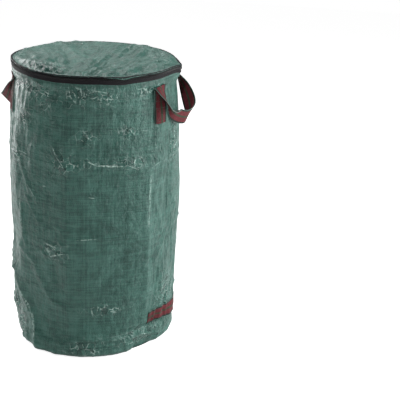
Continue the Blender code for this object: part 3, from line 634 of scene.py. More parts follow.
class Signal:
    """A socket of a material, so that its pattern can be written as a sum."""

    def __init__(self, socket):
        self.socket = socket

    def node(self, kind, settings=(), inputs=(), output=0):
        """Add a node: its settings first, then its inputs' values or links."""
        tree = self.socket.id_data
        fresh = tree.nodes.new("ShaderNode" + kind)
        for name, value in dict(settings).items():
            if name == "stops":
                ramp = fresh.color_ramp
                while len(ramp.elements) < len(value):
                    ramp.elements.new(1.0)
                for stop, (place, colour) in zip(ramp.elements, value):
                    stop.position = place
                    stop.color = (*colour, 1.0)
            else:
                setattr(fresh, name, value)
        for key, value in dict(inputs).items():
            if isinstance(value, Signal):
                tree.links.new(value.socket, fresh.inputs[key])
            else:
                fresh.inputs[key].default_value = value
        return Signal(fresh.outputs[output])

    def maths(self, operation, *values):
        """Add a node that works out a value from others."""
        return self.node("Math", {"operation": operation}, enumerate(values))

    def __add__(self, other):
        return self.maths("ADD", self, other)

    __radd__ = __add__

    def __sub__(self, other):
        return self.maths("SUBTRACT", self, other)

    def __rsub__(self, other):
        return self.maths("SUBTRACT", other, self)

    def __mul__(self, other):
        return self.maths("MULTIPLY", self, other)

    __rmul__ = __mul__

    def __truediv__(self, other):
        return self.maths("DIVIDE", self, other)

    def __pow__(self, other):
        return self.maths("POWER", self, other)

    def __mod__(self, other):
        return self.maths("FLOORED_MODULO", self, other)

    def __abs__(self):
        return self.maths("ABSOLUTE", self)

    def floor(self):
        """Return the whole number below."""
        return self.maths("FLOOR", self)

    def most(self, other):
        """Return the larger of two values."""
        return self.maths("MAXIMUM", self, other)

    def rise(self, low, high):
        """Return 0 below low, 1 above high, and a smooth rise between."""
        return self.node("MapRange", {"interpolation_type": "SMOOTHSTEP"},
                         {"Value": self, "From Min": low, "From Max": high})

    def between(self, first, second):
        """Mix two colours by this value."""
        pair = [value if isinstance(value, Signal) else (*value, 1.0)
                for value in (first, second)]
        return self.node("Mix", {"data_type": "RGBA"}, {0: self, 6: pair[0], 7: pair[1]}, 2)

    def part(self, name):
        """Return one of a vector's X, Y and Z."""
        return self.node("SeparateXYZ", {}, {0: self}, name)

    def noise(self, scale, detail=2.0, rough=0.5):
        """Return a soft noise over this vector."""
        return self.node("TexNoise", {}, {"Vector": self, "Scale": scale, "Detail": detail,
                                          "Roughness": rough})

    def chance(self, seed=0.0):
        """Return a random value for each whole number."""
        return self.node("TexWhiteNoise", {"noise_dimensions": "1D"}, {"W": self + seed})

    def stretched(self, scale):
        """Return this vector with each axis scaled."""
        return self.node("VectorMath", {"operation": "MULTIPLY"}, {0: self, 1: scale})


def new_finish(name, roughness, specular=0.5, sheen=0.0, metallic=0.0):
    """Return a material and its shader's output, with the settings that don't vary."""
    material = bpy.data.materials.new(name)
    material.use_nodes = True
    principled = material.node_tree.nodes["Principled BSDF"]
    for key, value in (("Roughness", roughness), ("Specular IOR Level", specular),
                       ("Sheen Weight", sheen), ("Metallic", metallic)):
        principled.inputs[key].default_value = value
    return material, Signal(principled.outputs["BSDF"])


def feed(shader, name, value):
    """Link a signal to one of the shader's inputs."""
    shader.socket.id_data.links.new(value.socket, shader.socket.node.inputs[name])


def raise_surface(shader, height, distance, below=None):
    """Return a bump of a real depth in metres, on top of another one."""
    inputs = {"Height": height, "Distance": distance, "Strength": 1.0}
    if below:
        inputs["Normal"] = below
    return shader.node("Bump", {}, inputs, "Normal")


# How many flat facets a metre of crumpled cloth breaks into
FACETS = 62.0


def tape_weave(cloth, tape):
    """Return the height, the gaps and the streaks of cloth woven from flat tapes."""
    warp = cloth.part("X") / tape
    weft = cloth.part("Y") / tape
    warp_cell, weft_cell = warp.floor(), weft.floor()
    warp_edge = abs(warp - warp_cell - 0.5) * 2.0
    weft_edge = abs(weft - weft_cell - 0.5) * 2.0
    over = (warp_cell + weft_cell) % 2.0
    crown = over * (1.0 - warp_edge ** 4.0) + (1.0 - over) * (1.0 - weft_edge ** 4.0)
    gaps = warp_edge.most(weft_edge).rise(0.72, 1.0)
    streak = over * warp_cell.chance(3.3) + (1.0 - over) * weft_cell.chance(9.1)
    return crown, gaps, streak


def pale_lines(cloth, settings):
    """Return 1 on each pale crease of the wall, fading out at its ends: partly whitened cloth,
    partly a painted glint.
    """
    total = None
    metre = wall_tapes(settings) / 360.0
    for strength, width, first_turn, first_level, last_turn, last_level in PALE_LINES:
        first = Vector(((first_turn + 180.0) * metre, first_level, 0.0))
        last = Vector(((last_turn + 180.0) * metre, last_level, 0.0))
        along = last - first
        turn = math.atan2(along.y, along.x)
        place = cloth.node("Mapping", {"vector_type": "TEXTURE"}, {
            0: cloth, "Location": (first + last) / 2.0, "Rotation": (0.0, 0.0, turn),
            "Scale": (along.length * 0.62, width * 1.4, 1.0)})
        line = place.node("TexGradient", {"gradient_type": "SPHERICAL"}, {0: place})
        line = strength * line.rise(0.0, 0.62)
        total = line if total is None else total.most(line)
    return total


def wall_tapes(settings):
    """Return the cloth's length round the belly, in whole pairs of its woven tapes."""
    around = math.tau * BELLY_RADIUS
    return 2.0 * round(around / settings.tape_width / 2.0) * settings.tape_width


def woven_cloth(name, settings, inside=False):
    """Coated cloth woven from flat green tapes, crumpled and scuffed pale along its creases, with
    painted glints on its creases and crumples and painted light and shade on its crumpled facets.
    """
    material, shader = new_finish(name, 0.5)
    cloth = shader.node("UVMap", {"uv_map": "cloth"})
    crumple = shader.node("Attribute", {"attribute_name": "crumple"}, {}, "Fac")
    tape = settings.tape_width
    crown, gaps, streak = tape_weave(cloth, tape)
    bent = cloth.node("VectorMath", {"operation": "ADD"}, {
        0: cloth, 1: cloth.node("TexNoise", {}, {"Vector": cloth, "Scale": 38.0}, "Color")
        .stretched((0.010, 0.010, 0.0))})
    edges = bent.node("TexVoronoi", {"feature": "DISTANCE_TO_EDGE"},
                      {"Vector": bent, "Scale": FACETS}, "Distance")
    centre = bent.node("TexVoronoi", {"feature": "F1"}, {"Vector": bent, "Scale": FACETS},
                       "Position")
    lean = centre.node("TexWhiteNoise", {"noise_dimensions": "3D"}, {0: centre}, "Color")
    lean = lean.node("VectorMath", {"operation": "SUBTRACT"}, {0: lean, 1: (0.5, 0.5, 0.5)})
    away = bent.node("VectorMath", {"operation": "SUBTRACT"}, {0: bent, 1: centre})
    warp_haze = cloth.stretched((1.0, 0.09, 1.0)).noise(240.0, 3.0, 0.6)
    weft_haze = cloth.stretched((0.09, 1.0, 1.0)).noise(210.0, 3.0, 0.6)
    clouds = cloth.noise(9.0, 4.0, 0.55)
    tone = 0.56 + 0.40 * streak + 0.75 * (warp_haze - 0.5) + 0.9 * (weft_haze - 0.5)
    tone = tone + 0.6 * (clouds - 0.5) + 1.0 * (cloth.noise(31.0, 3.0, 0.6) - 0.5)
    # Painted light and shade: each crumpled facet is made lighter or darker by the same random
    # tilt that its bump takes
    tone = tone - 0.25 * gaps + 0.9 * crumple * lean.part("X")
    colour = tone.rise(0.25, 1.15).between(settings.cloth_deep, settings.cloth_pale)
    facets = FACETS * away.node("VectorMath", {"operation": "DOT_PRODUCT"},
                                {0: away, 1: lean}, "Value")
    facets = facets * edges.rise(0.0, 0.12)
    breaks = cloth.noise(70.0, 3.0, 0.6).rise(0.46, 0.60)
    # Pale marks on the edges of crumpled facets and along the listed creases: partly cloth
    # whitened by creasing, partly painted glints
    scuffs_and_glints = (1.0 - edges.rise(0.0, 0.075)) * breaks * crumple
    pale = pale_lines(cloth, settings) * cloth.noise(150.0, 3.0, 0.6).rise(0.40, 0.56)
    whitened_and_glints = scuffs_and_glints.most(pale)
    if inside:
        whitened_and_glints = whitened_and_glints * 0.4
    colour = (0.85 * whitened_and_glints).between(colour, settings.scuff_and_glint)
    feed(shader, "Base Color", colour)
    gloss = 0.37 - 0.17 * crumple + 0.10 * (clouds - 0.5) + 0.05 * gaps
    feed(shader, "Roughness", gloss)
    dents = raise_surface(shader, facets * (0.10 + 0.90 * crumple), 0.0110)
    kinks = abs(cloth.noise(75.0, 3.0, 0.55) - 0.5) * (0.5 + 0.5 * crumple)
    pleats = shader.node("Attribute", {"attribute_name": "pleats"}, {}, "Fac")
    creased = abs(cloth.stretched((1.0, 0.2, 1.0)).noise(85.0, 3.0, 0.6) - 0.5)
    swells = cloth.noise(55.0, 4.0, 0.55) - 1.4 * kinks - 2.4 * pleats * creased
    swells = raise_surface(shader, swells, 0.0052, dents)
    weave = (crown - 0.6 * gaps) * (1.0 - 0.5 * crumple)
    weave = raise_surface(shader, weave, 0.00016, swells)
    feed(shader, "Normal", weave)
    return material


def striped_webbing(name, settings):
    """Red webbing with a green stripe down its middle and dark green edges."""
    material, shader = new_finish(name, 0.72, 0.2, sheen=0.03)
    cloth = shader.node("UVMap", {"uv_map": "cloth"})
    across, along = cloth.part("X"), cloth.part("Y")
    wander = 0.012 * (cloth.stretched((1.0, 90.0, 1.0)).noise(1.0, 2.0) - 0.5)
    edge, red, green = settings.webbing_edge, settings.webbing_red, settings.webbing_green
    stops = ((0.0, edge), (0.105, edge), (0.125, red), (0.425, red), (0.445, green),
             (0.565, green), (0.585, red), (0.875, red), (0.895, edge))
    colour = shader.node("ValToRGB", {"stops": stops}, {0: across + wander})
    ribs = abs((along / 0.0016) % 1.0 - 0.5) * 2.0
    yarns = across * 26.0
    twill = abs((yarns + along / 0.0032) % 1.0 - 0.5) * 2.0
    cell = (yarns.floor() * 7.0) + (along / 0.0032).floor()
    tone = 0.62 + 0.34 * twill + 0.30 * (cell.chance(5.0) - 0.5)
    tone = tone * (0.86 + 0.28 * (cloth.stretched((6.0, 55.0, 1.0)).noise(1.0, 3.0) - 0.5))
    shade = tone.node("CombineColor", {}, {0: tone, 1: tone, 2: tone})
    colour = shade.node("Mix", {"data_type": "RGBA", "blend_type": "MULTIPLY"},
                        {0: 1.0, 6: colour, 7: shade}, 2)
    rim = abs(across - 0.5).rise(0.485, 0.5)
    colour = (0.35 * rim).between(colour, settings.scuff_and_glint)
    feed(shader, "Base Color", colour)
    feed(shader, "Roughness", 0.80 - 0.16 * twill)
    grain = raise_surface(shader, twill * 0.7 + ribs * 0.3, 0.00035)
    feed(shader, "Normal", grain)
    return material


def ribbed_tape(name, colour, worn):
    """Narrow woven tape with herringbone ribs, as a zip or a seam binding has."""
    rib, roughness = 0.0011, 0.82
    material, shader = new_finish(name, roughness, 0.2, sheen=0.02)
    cloth = shader.node("UVMap", {"uv_map": "cloth"})
    across, along = cloth.part("X"), cloth.part("Y")
    zigzag = abs((along / (6.0 * rib)) % 1.0 - 0.5) * 4.0
    ribs = abs((across / rib + zigzag) % 1.0 - 0.5) * 2.0
    lint = cloth.stretched((1.0, 3.0, 1.0)).noise(420.0, 3.0, 0.7)
    fade = cloth.noise(28.0, 3.0, 0.6)
    tone = 0.30 * ribs + 0.45 * lint + 0.55 * (fade - 0.3)
    feed(shader, "Base Color", tone.rise(0.1, 1.0).between(colour, worn))
    feed(shader, "Roughness", roughness - 0.15 * ribs + 0.1 * (fade - 0.5))
    feed(shader, "Normal", raise_surface(shader, ribs + 0.3 * lint, 0.00022))
    return material


def moulded(name, colour, worn, roughness, metallic=0.0):
    """Plastic or painted metal with a fine grain, small scratches and worn places."""
    material, shader = new_finish(name, roughness, metallic=metallic)
    place = shader.node("TexCoord", {}, {}, "Object")
    grain = place.noise(900.0, 3.0, 0.6)
    rubbed = place.noise(160.0, 4.0, 0.6).rise(0.52, 0.70)
    scratches = place.stretched((1.0, 1.0, 12.0)).noise(700.0, 2.0).rise(0.62, 0.70)
    feed(shader, "Base Color", (0.6 * rubbed).most(0.4 * scratches).between(colour, worn))
    feed(shader, "Roughness", roughness + 0.18 * (grain - 0.5) + 0.12 * rubbed)
    feed(shader, "Normal", raise_surface(shader, grain + scratches, 0.00003))
    return material


def sewing_thread(name, colour, sheen_colour):
    """Twisted thread."""
    material, shader = new_finish(name, 0.6, 0.4, sheen=0.1)
    place = shader.node("TexCoord", {}, {}, "Object")
    twist = place.noise(2600.0, 2.0, 0.6)
    feed(shader, "Base Color", twist.between(colour, sheen_colour))
    feed(shader, "Roughness", 0.5 + 0.3 * twist)
    feed(shader, "Normal", raise_surface(shader, twist, 0.00006))
    return material


def finish(name):
    """Return one of the bag's finishes, made the first time it is asked for."""
    settings = settings_of(bpy.context)
    black = (settings.zip_black, settings.zip_worn)
    make, *details = {
        "green_woven_cloth": (woven_cloth, settings),
        "green_cloth_inside": (woven_cloth, settings, True),
        "red_striped_webbing": (striped_webbing, settings),
        "green_seam_binding": (ribbed_tape, (0.018, 0.045, 0.036), (0.05, 0.10, 0.08)),
        "black_zip_tape": (ribbed_tape, *black),
        "black_zip_coil": (moulded, *black, 0.38),
        "black_thread": (sewing_thread, *black),
        "green_thread": (sewing_thread, settings.thread_dark, settings.thread_light),
        "slider_metal": (moulded, (0.030, 0.030, 0.033), (0.30, 0.29, 0.28), 0.34, 0.85),
        "hoop_plastic": (moulded, (0.50, 0.49, 0.44), (0.62, 0.60, 0.55), 0.42),
    }[name]
    return bpy.data.materials.get(name) or make(name, *details)


# Settings that a user may change


class LeafBagSettings(bpy.types.PropertyGroup):
    """Sizes and colours of the bag."""

    tape_width: bpy.props.FloatProperty(
        name="Weave tape", description="Width of the flat tapes that the cloth is woven from",
        default=0.0024, min=0.001, max=0.006, unit="LENGTH")
    cloth_thickness: bpy.props.FloatProperty(
        name="Cloth thickness", description="Thickness of the woven cloth",
        default=0.0005, min=0.0002, max=0.0012, unit="LENGTH")
    webbing_thickness: bpy.props.FloatProperty(
        name="Webbing thickness", description="Thickness of the handle webbing",
        default=0.0015, min=0.0008, max=0.0020, unit="LENGTH")
    lid_sag: bpy.props.FloatProperty(
        name="Lid sag", description="How far the middle of the lid hangs below its rim",
        default=0.0040, min=0.0, max=0.012, unit="LENGTH")
    lid_wrinkle: bpy.props.FloatProperty(
        name="Lid wrinkles", description="Height of the lid's wrinkles",
        default=0.0118, min=0.0, max=0.015, unit="LENGTH")
    wall_slack: bpy.props.FloatProperty(
        name="Wall slack", description="Share by which the wall's cloth is larger than its shape",
        default=0.006, min=0.0, max=0.03)
    wall_hold: bpy.props.FloatProperty(
        name="Wall stiffness", description="How firmly the wall keeps its packed creases",
        default=0.15, min=0.0, max=1.0)
    lid_slack: bpy.props.FloatProperty(
        name="Lid slack", description="Share by which the lid's cloth is larger than its ring",
        default=0.0025, min=0.0, max=0.03)
    stitch_pitch: bpy.props.FloatProperty(
        name="Stitch pitch", description="Length from one stitch to the next",
        default=0.0036, min=0.002, max=0.008, unit="LENGTH")
    tooth_pitch: bpy.props.FloatProperty(
        name="Tooth pitch", description="Length from one turn of the zip's coil to the next",
        default=0.0016, min=0.001, max=0.003, unit="LENGTH")
    cloth_deep: bpy.props.FloatVectorProperty(
        name="Cloth, deep", description="Darkest green of the cloth",
        default=(0.013, 0.074, 0.057), min=0.0, max=1.0, subtype="COLOR")
    cloth_pale: bpy.props.FloatVectorProperty(
        name="Cloth, pale", description="Palest green of the cloth's tapes",
        default=(0.070, 0.205, 0.165), min=0.0, max=1.0, subtype="COLOR")
    # This pale colour also paints the glints on the wall's creases and crumples, besides the worn
    # edges of the webbing
    scuff_and_glint: bpy.props.FloatVectorProperty(
        name="Scuffs", description="Colour of creases that have turned pale",
        default=(0.62, 0.84, 0.76), min=0.0, max=1.0, subtype="COLOR")
    webbing_red: bpy.props.FloatVectorProperty(
        name="Webbing red", description="Main colour of the webbing",
        default=(0.218, 0.037, 0.046), min=0.0, max=1.0, subtype="COLOR")
    webbing_green: bpy.props.FloatVectorProperty(
        name="Webbing stripe", description="Stripe down the middle of the webbing",
        default=(0.075, 0.090, 0.055), min=0.0, max=1.0, subtype="COLOR")
    webbing_edge: bpy.props.FloatVectorProperty(
        name="Webbing edge", description="Dark edges of the webbing",
        default=(0.018, 0.045, 0.034), min=0.0, max=1.0, subtype="COLOR")
    zip_black: bpy.props.FloatVectorProperty(
        name="Zip black", description="Colour of the zip's tape and coil",
        default=(0.006, 0.006, 0.007), min=0.0, max=1.0, subtype="COLOR")
    zip_worn: bpy.props.FloatVectorProperty(
        name="Zip, worn", description="Colour of the zip where it is rubbed",
        default=(0.030, 0.027, 0.031), min=0.0, max=1.0, subtype="COLOR")
    thread_dark: bpy.props.FloatVectorProperty(
        name="Thread, dark", description="Darker colour of the sewing thread",
        default=(0.03, 0.09, 0.07), min=0.0, max=1.0, subtype="COLOR")
    thread_light: bpy.props.FloatVectorProperty(
        name="Thread, light", description="Lighter colour of the sewing thread",
        default=(0.09, 0.19, 0.15), min=0.0, max=1.0, subtype="COLOR")


class LeafBagStudioSettings(bpy.types.PropertyGroup):
    """The camera and lamps."""

    lens: bpy.props.FloatProperty(
        name="Lens", description="Focal length of the camera, in millimetres",
        default=87.1, min=20.0, max=300.0)
    world_strength: bpy.props.FloatProperty(
        name="Sky", description="Strength of the even light from all round",
        default=0.15, min=0.0, max=3.0)
    side_light: bpy.props.FloatProperty(
        name="Side lamps", description="Power of the two tall side lamps, in watts",
        default=27.0, min=0.0, max=500.0)
    top_light: bpy.props.FloatProperty(
        name="Top lamp", description="Power of the lamp above and behind, in watts",
        default=18.0, min=0.0, max=500.0)


def settings_of(context):
    """Return the bag's settings."""
    return context.scene.leaf_bag


# Pieces


def mark_cloth(piece, amount, name="crumple"):
    """Store how crumpled or pleated the cloth is at each point, for its finish to read."""
    layer = piece.data.attributes.new(name, "FLOAT", "POINT")
    layer.data.foreach_set("value", [amount(vert.co) for vert in piece.data.vertices])


def bearing_of(spot):
    """Return the bearing of a point round the bag, in degrees."""
    return math.degrees(math.atan2(spot.x, -spot.y))


class LEAFBAG_OT_side_wall(bpy.types.Operator):
    """Cloth wall: creased between its packing folds, with a slumped foot"""

    bl_idname = "leafbag.side_wall"
    bl_label = "Side wall"

    def execute(self, context):
        settings = settings_of(context)
        foot = barrel_radius(CORNER) - CORNER
        turned_in = foot - BASE_RADIUS + 0.006
        corner_arc = CORNER * math.pi / 2.0
        length = turned_in + corner_arc + WALL_TOP - CORNER
        tapes = wall_tapes(settings)

        def path(share):
            """Return the radius, height and outline height at a share of the cut's length."""
            run = share * length
            if run < turned_in:
                return foot - turned_in + run, 0.0, 0.0
            if run < turned_in + corner_arc:
                turn = (run - turned_in) / CORNER
                return foot + CORNER * math.sin(turn), CORNER * (1.0 - math.cos(turn)), CORNER
            height = run - turned_in - corner_arc + CORNER
            return barrel_radius(height), height, height

        def place(across, along):
            bearing = across * 360.0 - 180.0
            radius, height, level = path(along)
            full = smooth((radius - foot + 0.004) / (CORNER + 0.002)) if height < CORNER else 1.0
            shift = wall_shift(bearing, max(level, height)) * full if full else 0.0
            lift = 0.0
            if height < PINCH_TOP:
                pinch = math.exp(-(turn_between(bearing, PINCH_BEARING) / 10.0) ** 2)
                lift = PINCH_LIFT * pinch * full * (1.0 - height / PINCH_TOP)
            spot = rim_point(bearing, radius + shift, height + lift)
            if height > WALL_TOP - 0.004:
                spot.z += rim_wave(bearing)
            return spot

        def pattern(across, along):
            return across * tapes, along * length - turned_in - corner_arc + CORNER

        shape = mapped_grid(300, 150, place, pattern)
        piece = finish_piece("bag_wall", shape, "green_woven_cloth", "bag")
        piece.data.materials.append(finish("green_cloth_inside"))

        def held(spot):
            ends = smooth((spot.z - 0.690) / 0.030) + 1.0 - smooth((spot.z - 0.004) / 0.012)
            return min(1.0, settings.wall_hold + ends)

        settle(piece, held, settings.wall_slack)
        wall_tree.cache_clear()
        mark_cloth(piece, lambda spot: crumple_at(bearing_of(spot), spot.z))
        mark_cloth(piece, lambda spot: min(1.0, pleats_at(bearing_of(spot), spot.z) / 0.0036),
                   "pleats")
        thicken(piece, settings.cloth_thickness, inner=1)
        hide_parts("side_wall")
        return {"FINISHED"}


def disc_point(across, along):
    """Return a point of a unit disc from two shares, with no pole in its middle."""
    x, y = 2.0 * across - 1.0, 2.0 * along - 1.0
    return x * math.sqrt(1.0 - y * y / 2.0), y * math.sqrt(1.0 - x * x / 2.0)


def disc_pattern(radius):
    """Return the flat pattern of a disc of cloth, for mapped_grid."""
    return lambda across, along: tuple(value * radius for value in disc_point(across, along))


def lid_reach(bearing):
    """Return how far the lid's edge sticks out past its ring: a pulled corner on the right."""
    reach = 0.0
    for place, half_width, size in LID_CORNERS:
        reach += size * math.exp(-abs(turn_between(bearing, place) / half_width) ** 1.4)
    return reach


def rim_pull(bearing, height):
    """Return how far the rim and the wall under it follow the lid's pulled corners."""
    return max(0.0, lid_reach(bearing)) * smooth((height - 0.692) / 0.050)


def lid_droop(bearing):
    """Return how far the lid's turned edge hangs over the zip tape."""
    return at_bearing(LID_DROPS, bearing)


def lid_height(x, y):
    """Return the height of the lid's folds at a point, as a share of the tallest."""
    share = min(1.0, math.hypot(x, y) / LID_RADIUS)
    spot = Vector((x, y, 0.0))
    shifted = spot * 7.0 + Vector((9.0, 2.0, 1.0))
    warp = Vector((noise.noise(spot * 7.0), noise.noise(shifted), 0.0))
    turn, reach = math.atan2(x, y + 0.36), math.hypot(x, y + 0.36)
    folds = ridges(Vector((turn * 6.5, reach * 5.5, 2.0)) + warp * 0.6)
    small = ridges(Vector((turn * 15.0, reach * 12.0, 5.0)) + warp)
    total = 0.52 * folds + 0.30 * small + 0.34 * noise.fractal(spot * 34.0, 1.0, 2.0, 3)
    roll = math.exp(-(turn_between(bearing_of(spot), -30.0) / 20.0) ** 2)
    total += 1.1 * roll * smooth((1.0 - share) / 0.11) * smooth((share - 0.5) / 0.3)
    return smooth((1.0 - share) / 0.09) * total


def hanging_room(x, y):
    """Return how high the lid may rise at a point and still clear the wall behind it, opened."""
    away = HINGE_BACK - y
    level = BAG_TOP + away * math.sin(LID_SWING)
    back = HINGE_BACK - away * math.cos(LID_SWING)
    bearing = bearing_of(Vector((x, back, 0.0)))
    wall = wall_point(bearing, min(level, WALL_TOP - 0.003), HANGING_GAP).xy.length
    if level > TAPE_LOW - 0.002:
        wall = max(wall, TAPE_RADIUS + HANGING_TAPE_GAP)
    return (back - math.sqrt(max(0.0, wall ** 2 - x ** 2))) / -math.sin(LID_SWING)


class LEAFBAG_OT_lid(bpy.types.Operator):
    """Round lid, sagging and wrinkled, with its edge turned over the zip tape"""

    bl_idname = "leafbag.lid"
    bl_label = "Lid"

    def execute(self, context):
        settings = settings_of(context)
        edge_radius = LID_RADIUS + 0.0002

        def place(across, along):
            x, y = disc_point(across, along)
            share = math.hypot(x, y)
            sag = settings.lid_sag * (1.0 - share ** 2) ** 2
            reach = lid_reach(bearing_of(Vector((x, y, 0.0)))) * share ** 8
            x, y = x * (edge_radius + reach), y * (edge_radius + reach)
            rise = settings.lid_wrinkle * lid_height(x, y) - sag - LID_SEAT
            room = hanging_room(x, y)
            if rise > 0.0:
                rise = room * math.tanh(rise / room) if room > 0.0002 else min(rise, room)
            height = BAG_TOP + rise - CORNER_DIP * max(0.0, reach)
            return Vector((x, y, height + rim_wave(bearing_of(Vector((x, y, 0.0)))) * share))

        shape = mapped_grid(130, 130, place, disc_pattern(edge_radius))
        pattern = shape.loops.layers.uv["cloth"]
        for depth_share in (0.35, 1.0):
            border = [edge for edge in shape.edges if edge.is_boundary]
            grown = bmesh.ops.extrude_edge_only(shape, edges=border)["geom"]
            for vert in (part for part in grown if isinstance(part, bmesh.types.BMVert)):
                bearing = bearing_of(vert.co)
                drop = lid_droop(bearing)
                out = 0.0007 if depth_share < 1.0 else 0.0010 + 0.25 * (drop - 0.001)
                reach = lid_reach(bearing)
                level = BAG_TOP - LID_SEAT + rim_wave(bearing) - drop * depth_share
                vert.co = rim_point(bearing, edge_radius + out + reach,
                                    level - CORNER_DIP * max(0.0, reach))
                for corner in vert.link_loops:
                    corner[pattern].uv = vert.co.xy * (1.0 + drop * depth_share / LID_RADIUS)
        piece = finish_piece("lid_cloth", shape, "green_woven_cloth", "lid")
        piece.data.materials.append(finish("green_cloth_inside"))
        settle(piece, lambda spot: smooth((math.hypot(spot.x, spot.y) - 0.196) / 0.014),
               settings.lid_slack, 0.05)

        # How crumpled the lid is; where it is crumpled, its finish paints pale glints and lighter
        # and darker facets
        def amount(spot):
            across, along = (spot.x + 0.085) / 0.06, (spot.y + 0.175) / 0.030
            front_left = math.exp(-across ** 2 - along ** 2)
            soft = max(0.0, noise.noise(spot * 14.0)) * 0.35
            streak = abs(noise_at(spot.x * 9.0 + spot.y * 5.0, spot.y * 30.0, 1.0))
            return min(1.0, front_left + 0.6 * soft + 0.10 + 0.30 * streak)

        mark_cloth(piece, amount)
        thicken(piece, settings.cloth_thickness, inner=1)
        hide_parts("lid_panel")
        return {"FINISHED"}


class LEAFBAG_OT_lid_piping(bpy.types.Operator):
    """Upper edge of the zip tape, turned over the lid's edge as piping"""

    bl_idname = "leafbag.lid_piping"
    bl_label = "Lid piping"

    def execute(self, context):
        def place(across, along):
            bearing = across * 360.0 - 180.0
            cover = at_bearing(PIPING_WIDTHS, bearing)
            run = along * (PIPING_FACE + cover)
            reach = lid_reach(bearing)
            level = BAG_TOP + SEAT + rim_wave(bearing) - CORNER_DIP * max(0.0, reach)
            edge = LID_RADIUS + PIPING_OUT + reach
            pucker = 0.0004 * noise_at(bearing / 1.7, along * 2.0, 3.0)
            if run < PIPING_FACE:
                return rim_point(bearing, edge + pucker, level - PIPING_FACE + run)
            return rim_point(bearing, edge - (run - PIPING_FACE) + pucker, level + pucker)

        length = math.tau * LID_RADIUS
        shape = mapped_grid(360, 8, place, lambda across, along: (along * 0.007,
                                                                  across * length))
        piece = finish_piece("lid_piping", shape, "black_zip_tape", "lid")
        thicken(piece, PIPING_THICKNESS)
        return {"FINISHED"}


class LEAFBAG_OT_base(bpy.types.Operator):
    """Round base of the same cloth, and the binding tape over its seam"""

    bl_idname = "leafbag.base"
    bl_label = "Base and seam binding"

    def execute(self, context):
        settings = settings_of(context)

        def place(across, along):
            x, y = disc_point(across, along)
            ripple = 0.0006 * abs(noise_at(x * 5.0, y * 5.0, 2.0))
            held = 1.0 - math.hypot(x, y) ** 6
            return Vector((x * BASE_RADIUS, y * BASE_RADIUS, 0.0007 + ripple * held))

        shape = mapped_grid(64, 64, place, disc_pattern(BASE_RADIUS))
        base = finish_piece("base_cloth", shape, "green_woven_cloth", "bag")
        mark_cloth(base, lambda spot: 0.15)
        thicken(base, settings.cloth_thickness)
        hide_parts("base_panel")

        outer, _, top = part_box("base_binding")[1]
        inner = outer - BINDING_WIDTH

        def band(across, along):
            bearing = across * 360.0 - 180.0
            ripple = 0.0003 * noise.noise(rim_point(bearing, 2.0, along))
            return rim_point(bearing, inner + (outer - inner) * along, top - 0.0004 + ripple)

        shape = mapped_grid(180, 4, band, lambda across, along: (
            along * BINDING_WIDTH, across * math.tau * outer))
        binding = finish_piece("base_seam_binding", shape, "green_seam_binding", "bag")
        thicken(binding, BINDING_THICKNESS)
        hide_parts("base_binding")
        rows = []
        for radius in (inner + 0.004, outer - 0.004):
            points = [rim_point(step * 2.0, radius, top + 0.0001) for step in range(181)]
            rows += stitch_places(points, lambda spot: Vector((0.0, 0.0, 1.0)),
                                  settings.stitch_pitch * 1.3)
        sew("base_seam_stitches", rows, BASE_STITCH, "green_thread", "bag")
        return {"FINISHED"}


class LEAFBAG_OT_rim_casing(bpy.types.Operator):
    """Casing sewn round the hoop inside the rim, with its stitches"""

    bl_idname = "leafbag.rim_casing"
    bl_label = "Rim casing"

    def execute(self, context):
        settings = settings_of(context)
        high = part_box("rim_casing")[1]
        tube = (high.z - HOOP_HEIGHT) - 0.0002
        hoop_radius = high.x - (high.z - HOOP_HEIGHT)
        start, end = math.radians(-132.0), math.radians(-360.0)
        arc = abs(end - start) * tube
        length = arc + (HOOP_HEIGHT - CASING_LOW)

        def place(across, along):
            bearing = across * 360.0 - 180.0
            run = along * length
            pucker = 0.00035 * noise_at(bearing / 2.3, along * 3.0, 1.0)
            if run < arc:
                turn = start + (end - start) * run / arc
                radius = hoop_radius + (tube + pucker) * math.cos(turn)
                return rim_point(bearing, radius, HOOP_HEIGHT + (tube + pucker) * math.sin(turn))
            return rim_point(bearing, hoop_radius + tube, HOOP_HEIGHT - (run - arc))

        shape = mapped_grid(240, 16, place, lambda across, along: (
            across * math.tau * hoop_radius, along * length))
        piece = finish_piece("hoop_casing", shape, "green_cloth_inside", "bag")
        mark_cloth(piece, lambda spot: 0.2)
        thicken(piece, CASING_THICKNESS)
        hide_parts("rim_casing")
        rows = []
        for level in (CASING_LOW + 0.0025, CASING_LOW + 0.0045):
            points = [wall_point(step * 2.0, level, SEAT) for step in range(181)]
            rows += stitch_places(points, away_from_axis, settings.stitch_pitch)
        sew("casing_stitches", rows, WEBBING_STITCH, "green_thread", "bag")
        return {"FINISHED"}


def pulled_point(bearing, radius, level, height):
    """Return a point of the zip, which follows the rim's waves and its pulled corner."""
    pull = rim_pull(bearing, level)
    return rim_point(bearing, radius + pull, height - CORNER_DIP * pull)


def rim_tape(name, low, high, half, body, node):
    """Add a band of zip tape round the rim, as far to each side as a bearing."""

    def place(across, along):
        bearing = -half + 2.0 * half * across
        ripple = 0.00025 * noise_at(bearing / 4.0, along * 2.0, low * 100.0)
        height = low + (high - low) * along + rim_wave(bearing)
        return pulled_point(bearing, TAPE_RADIUS + ripple, height, height)

    length = math.radians(2.0 * half) * TAPE_RADIUS
    shape = mapped_grid(round(2.0 * half), 6, place, lambda across, along: (
        along * (high - low), across * length))
    piece = finish_piece(name, shape, "black_zip_tape", body)
    thicken(piece, TAPE_THICKNESS)
    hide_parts(node)


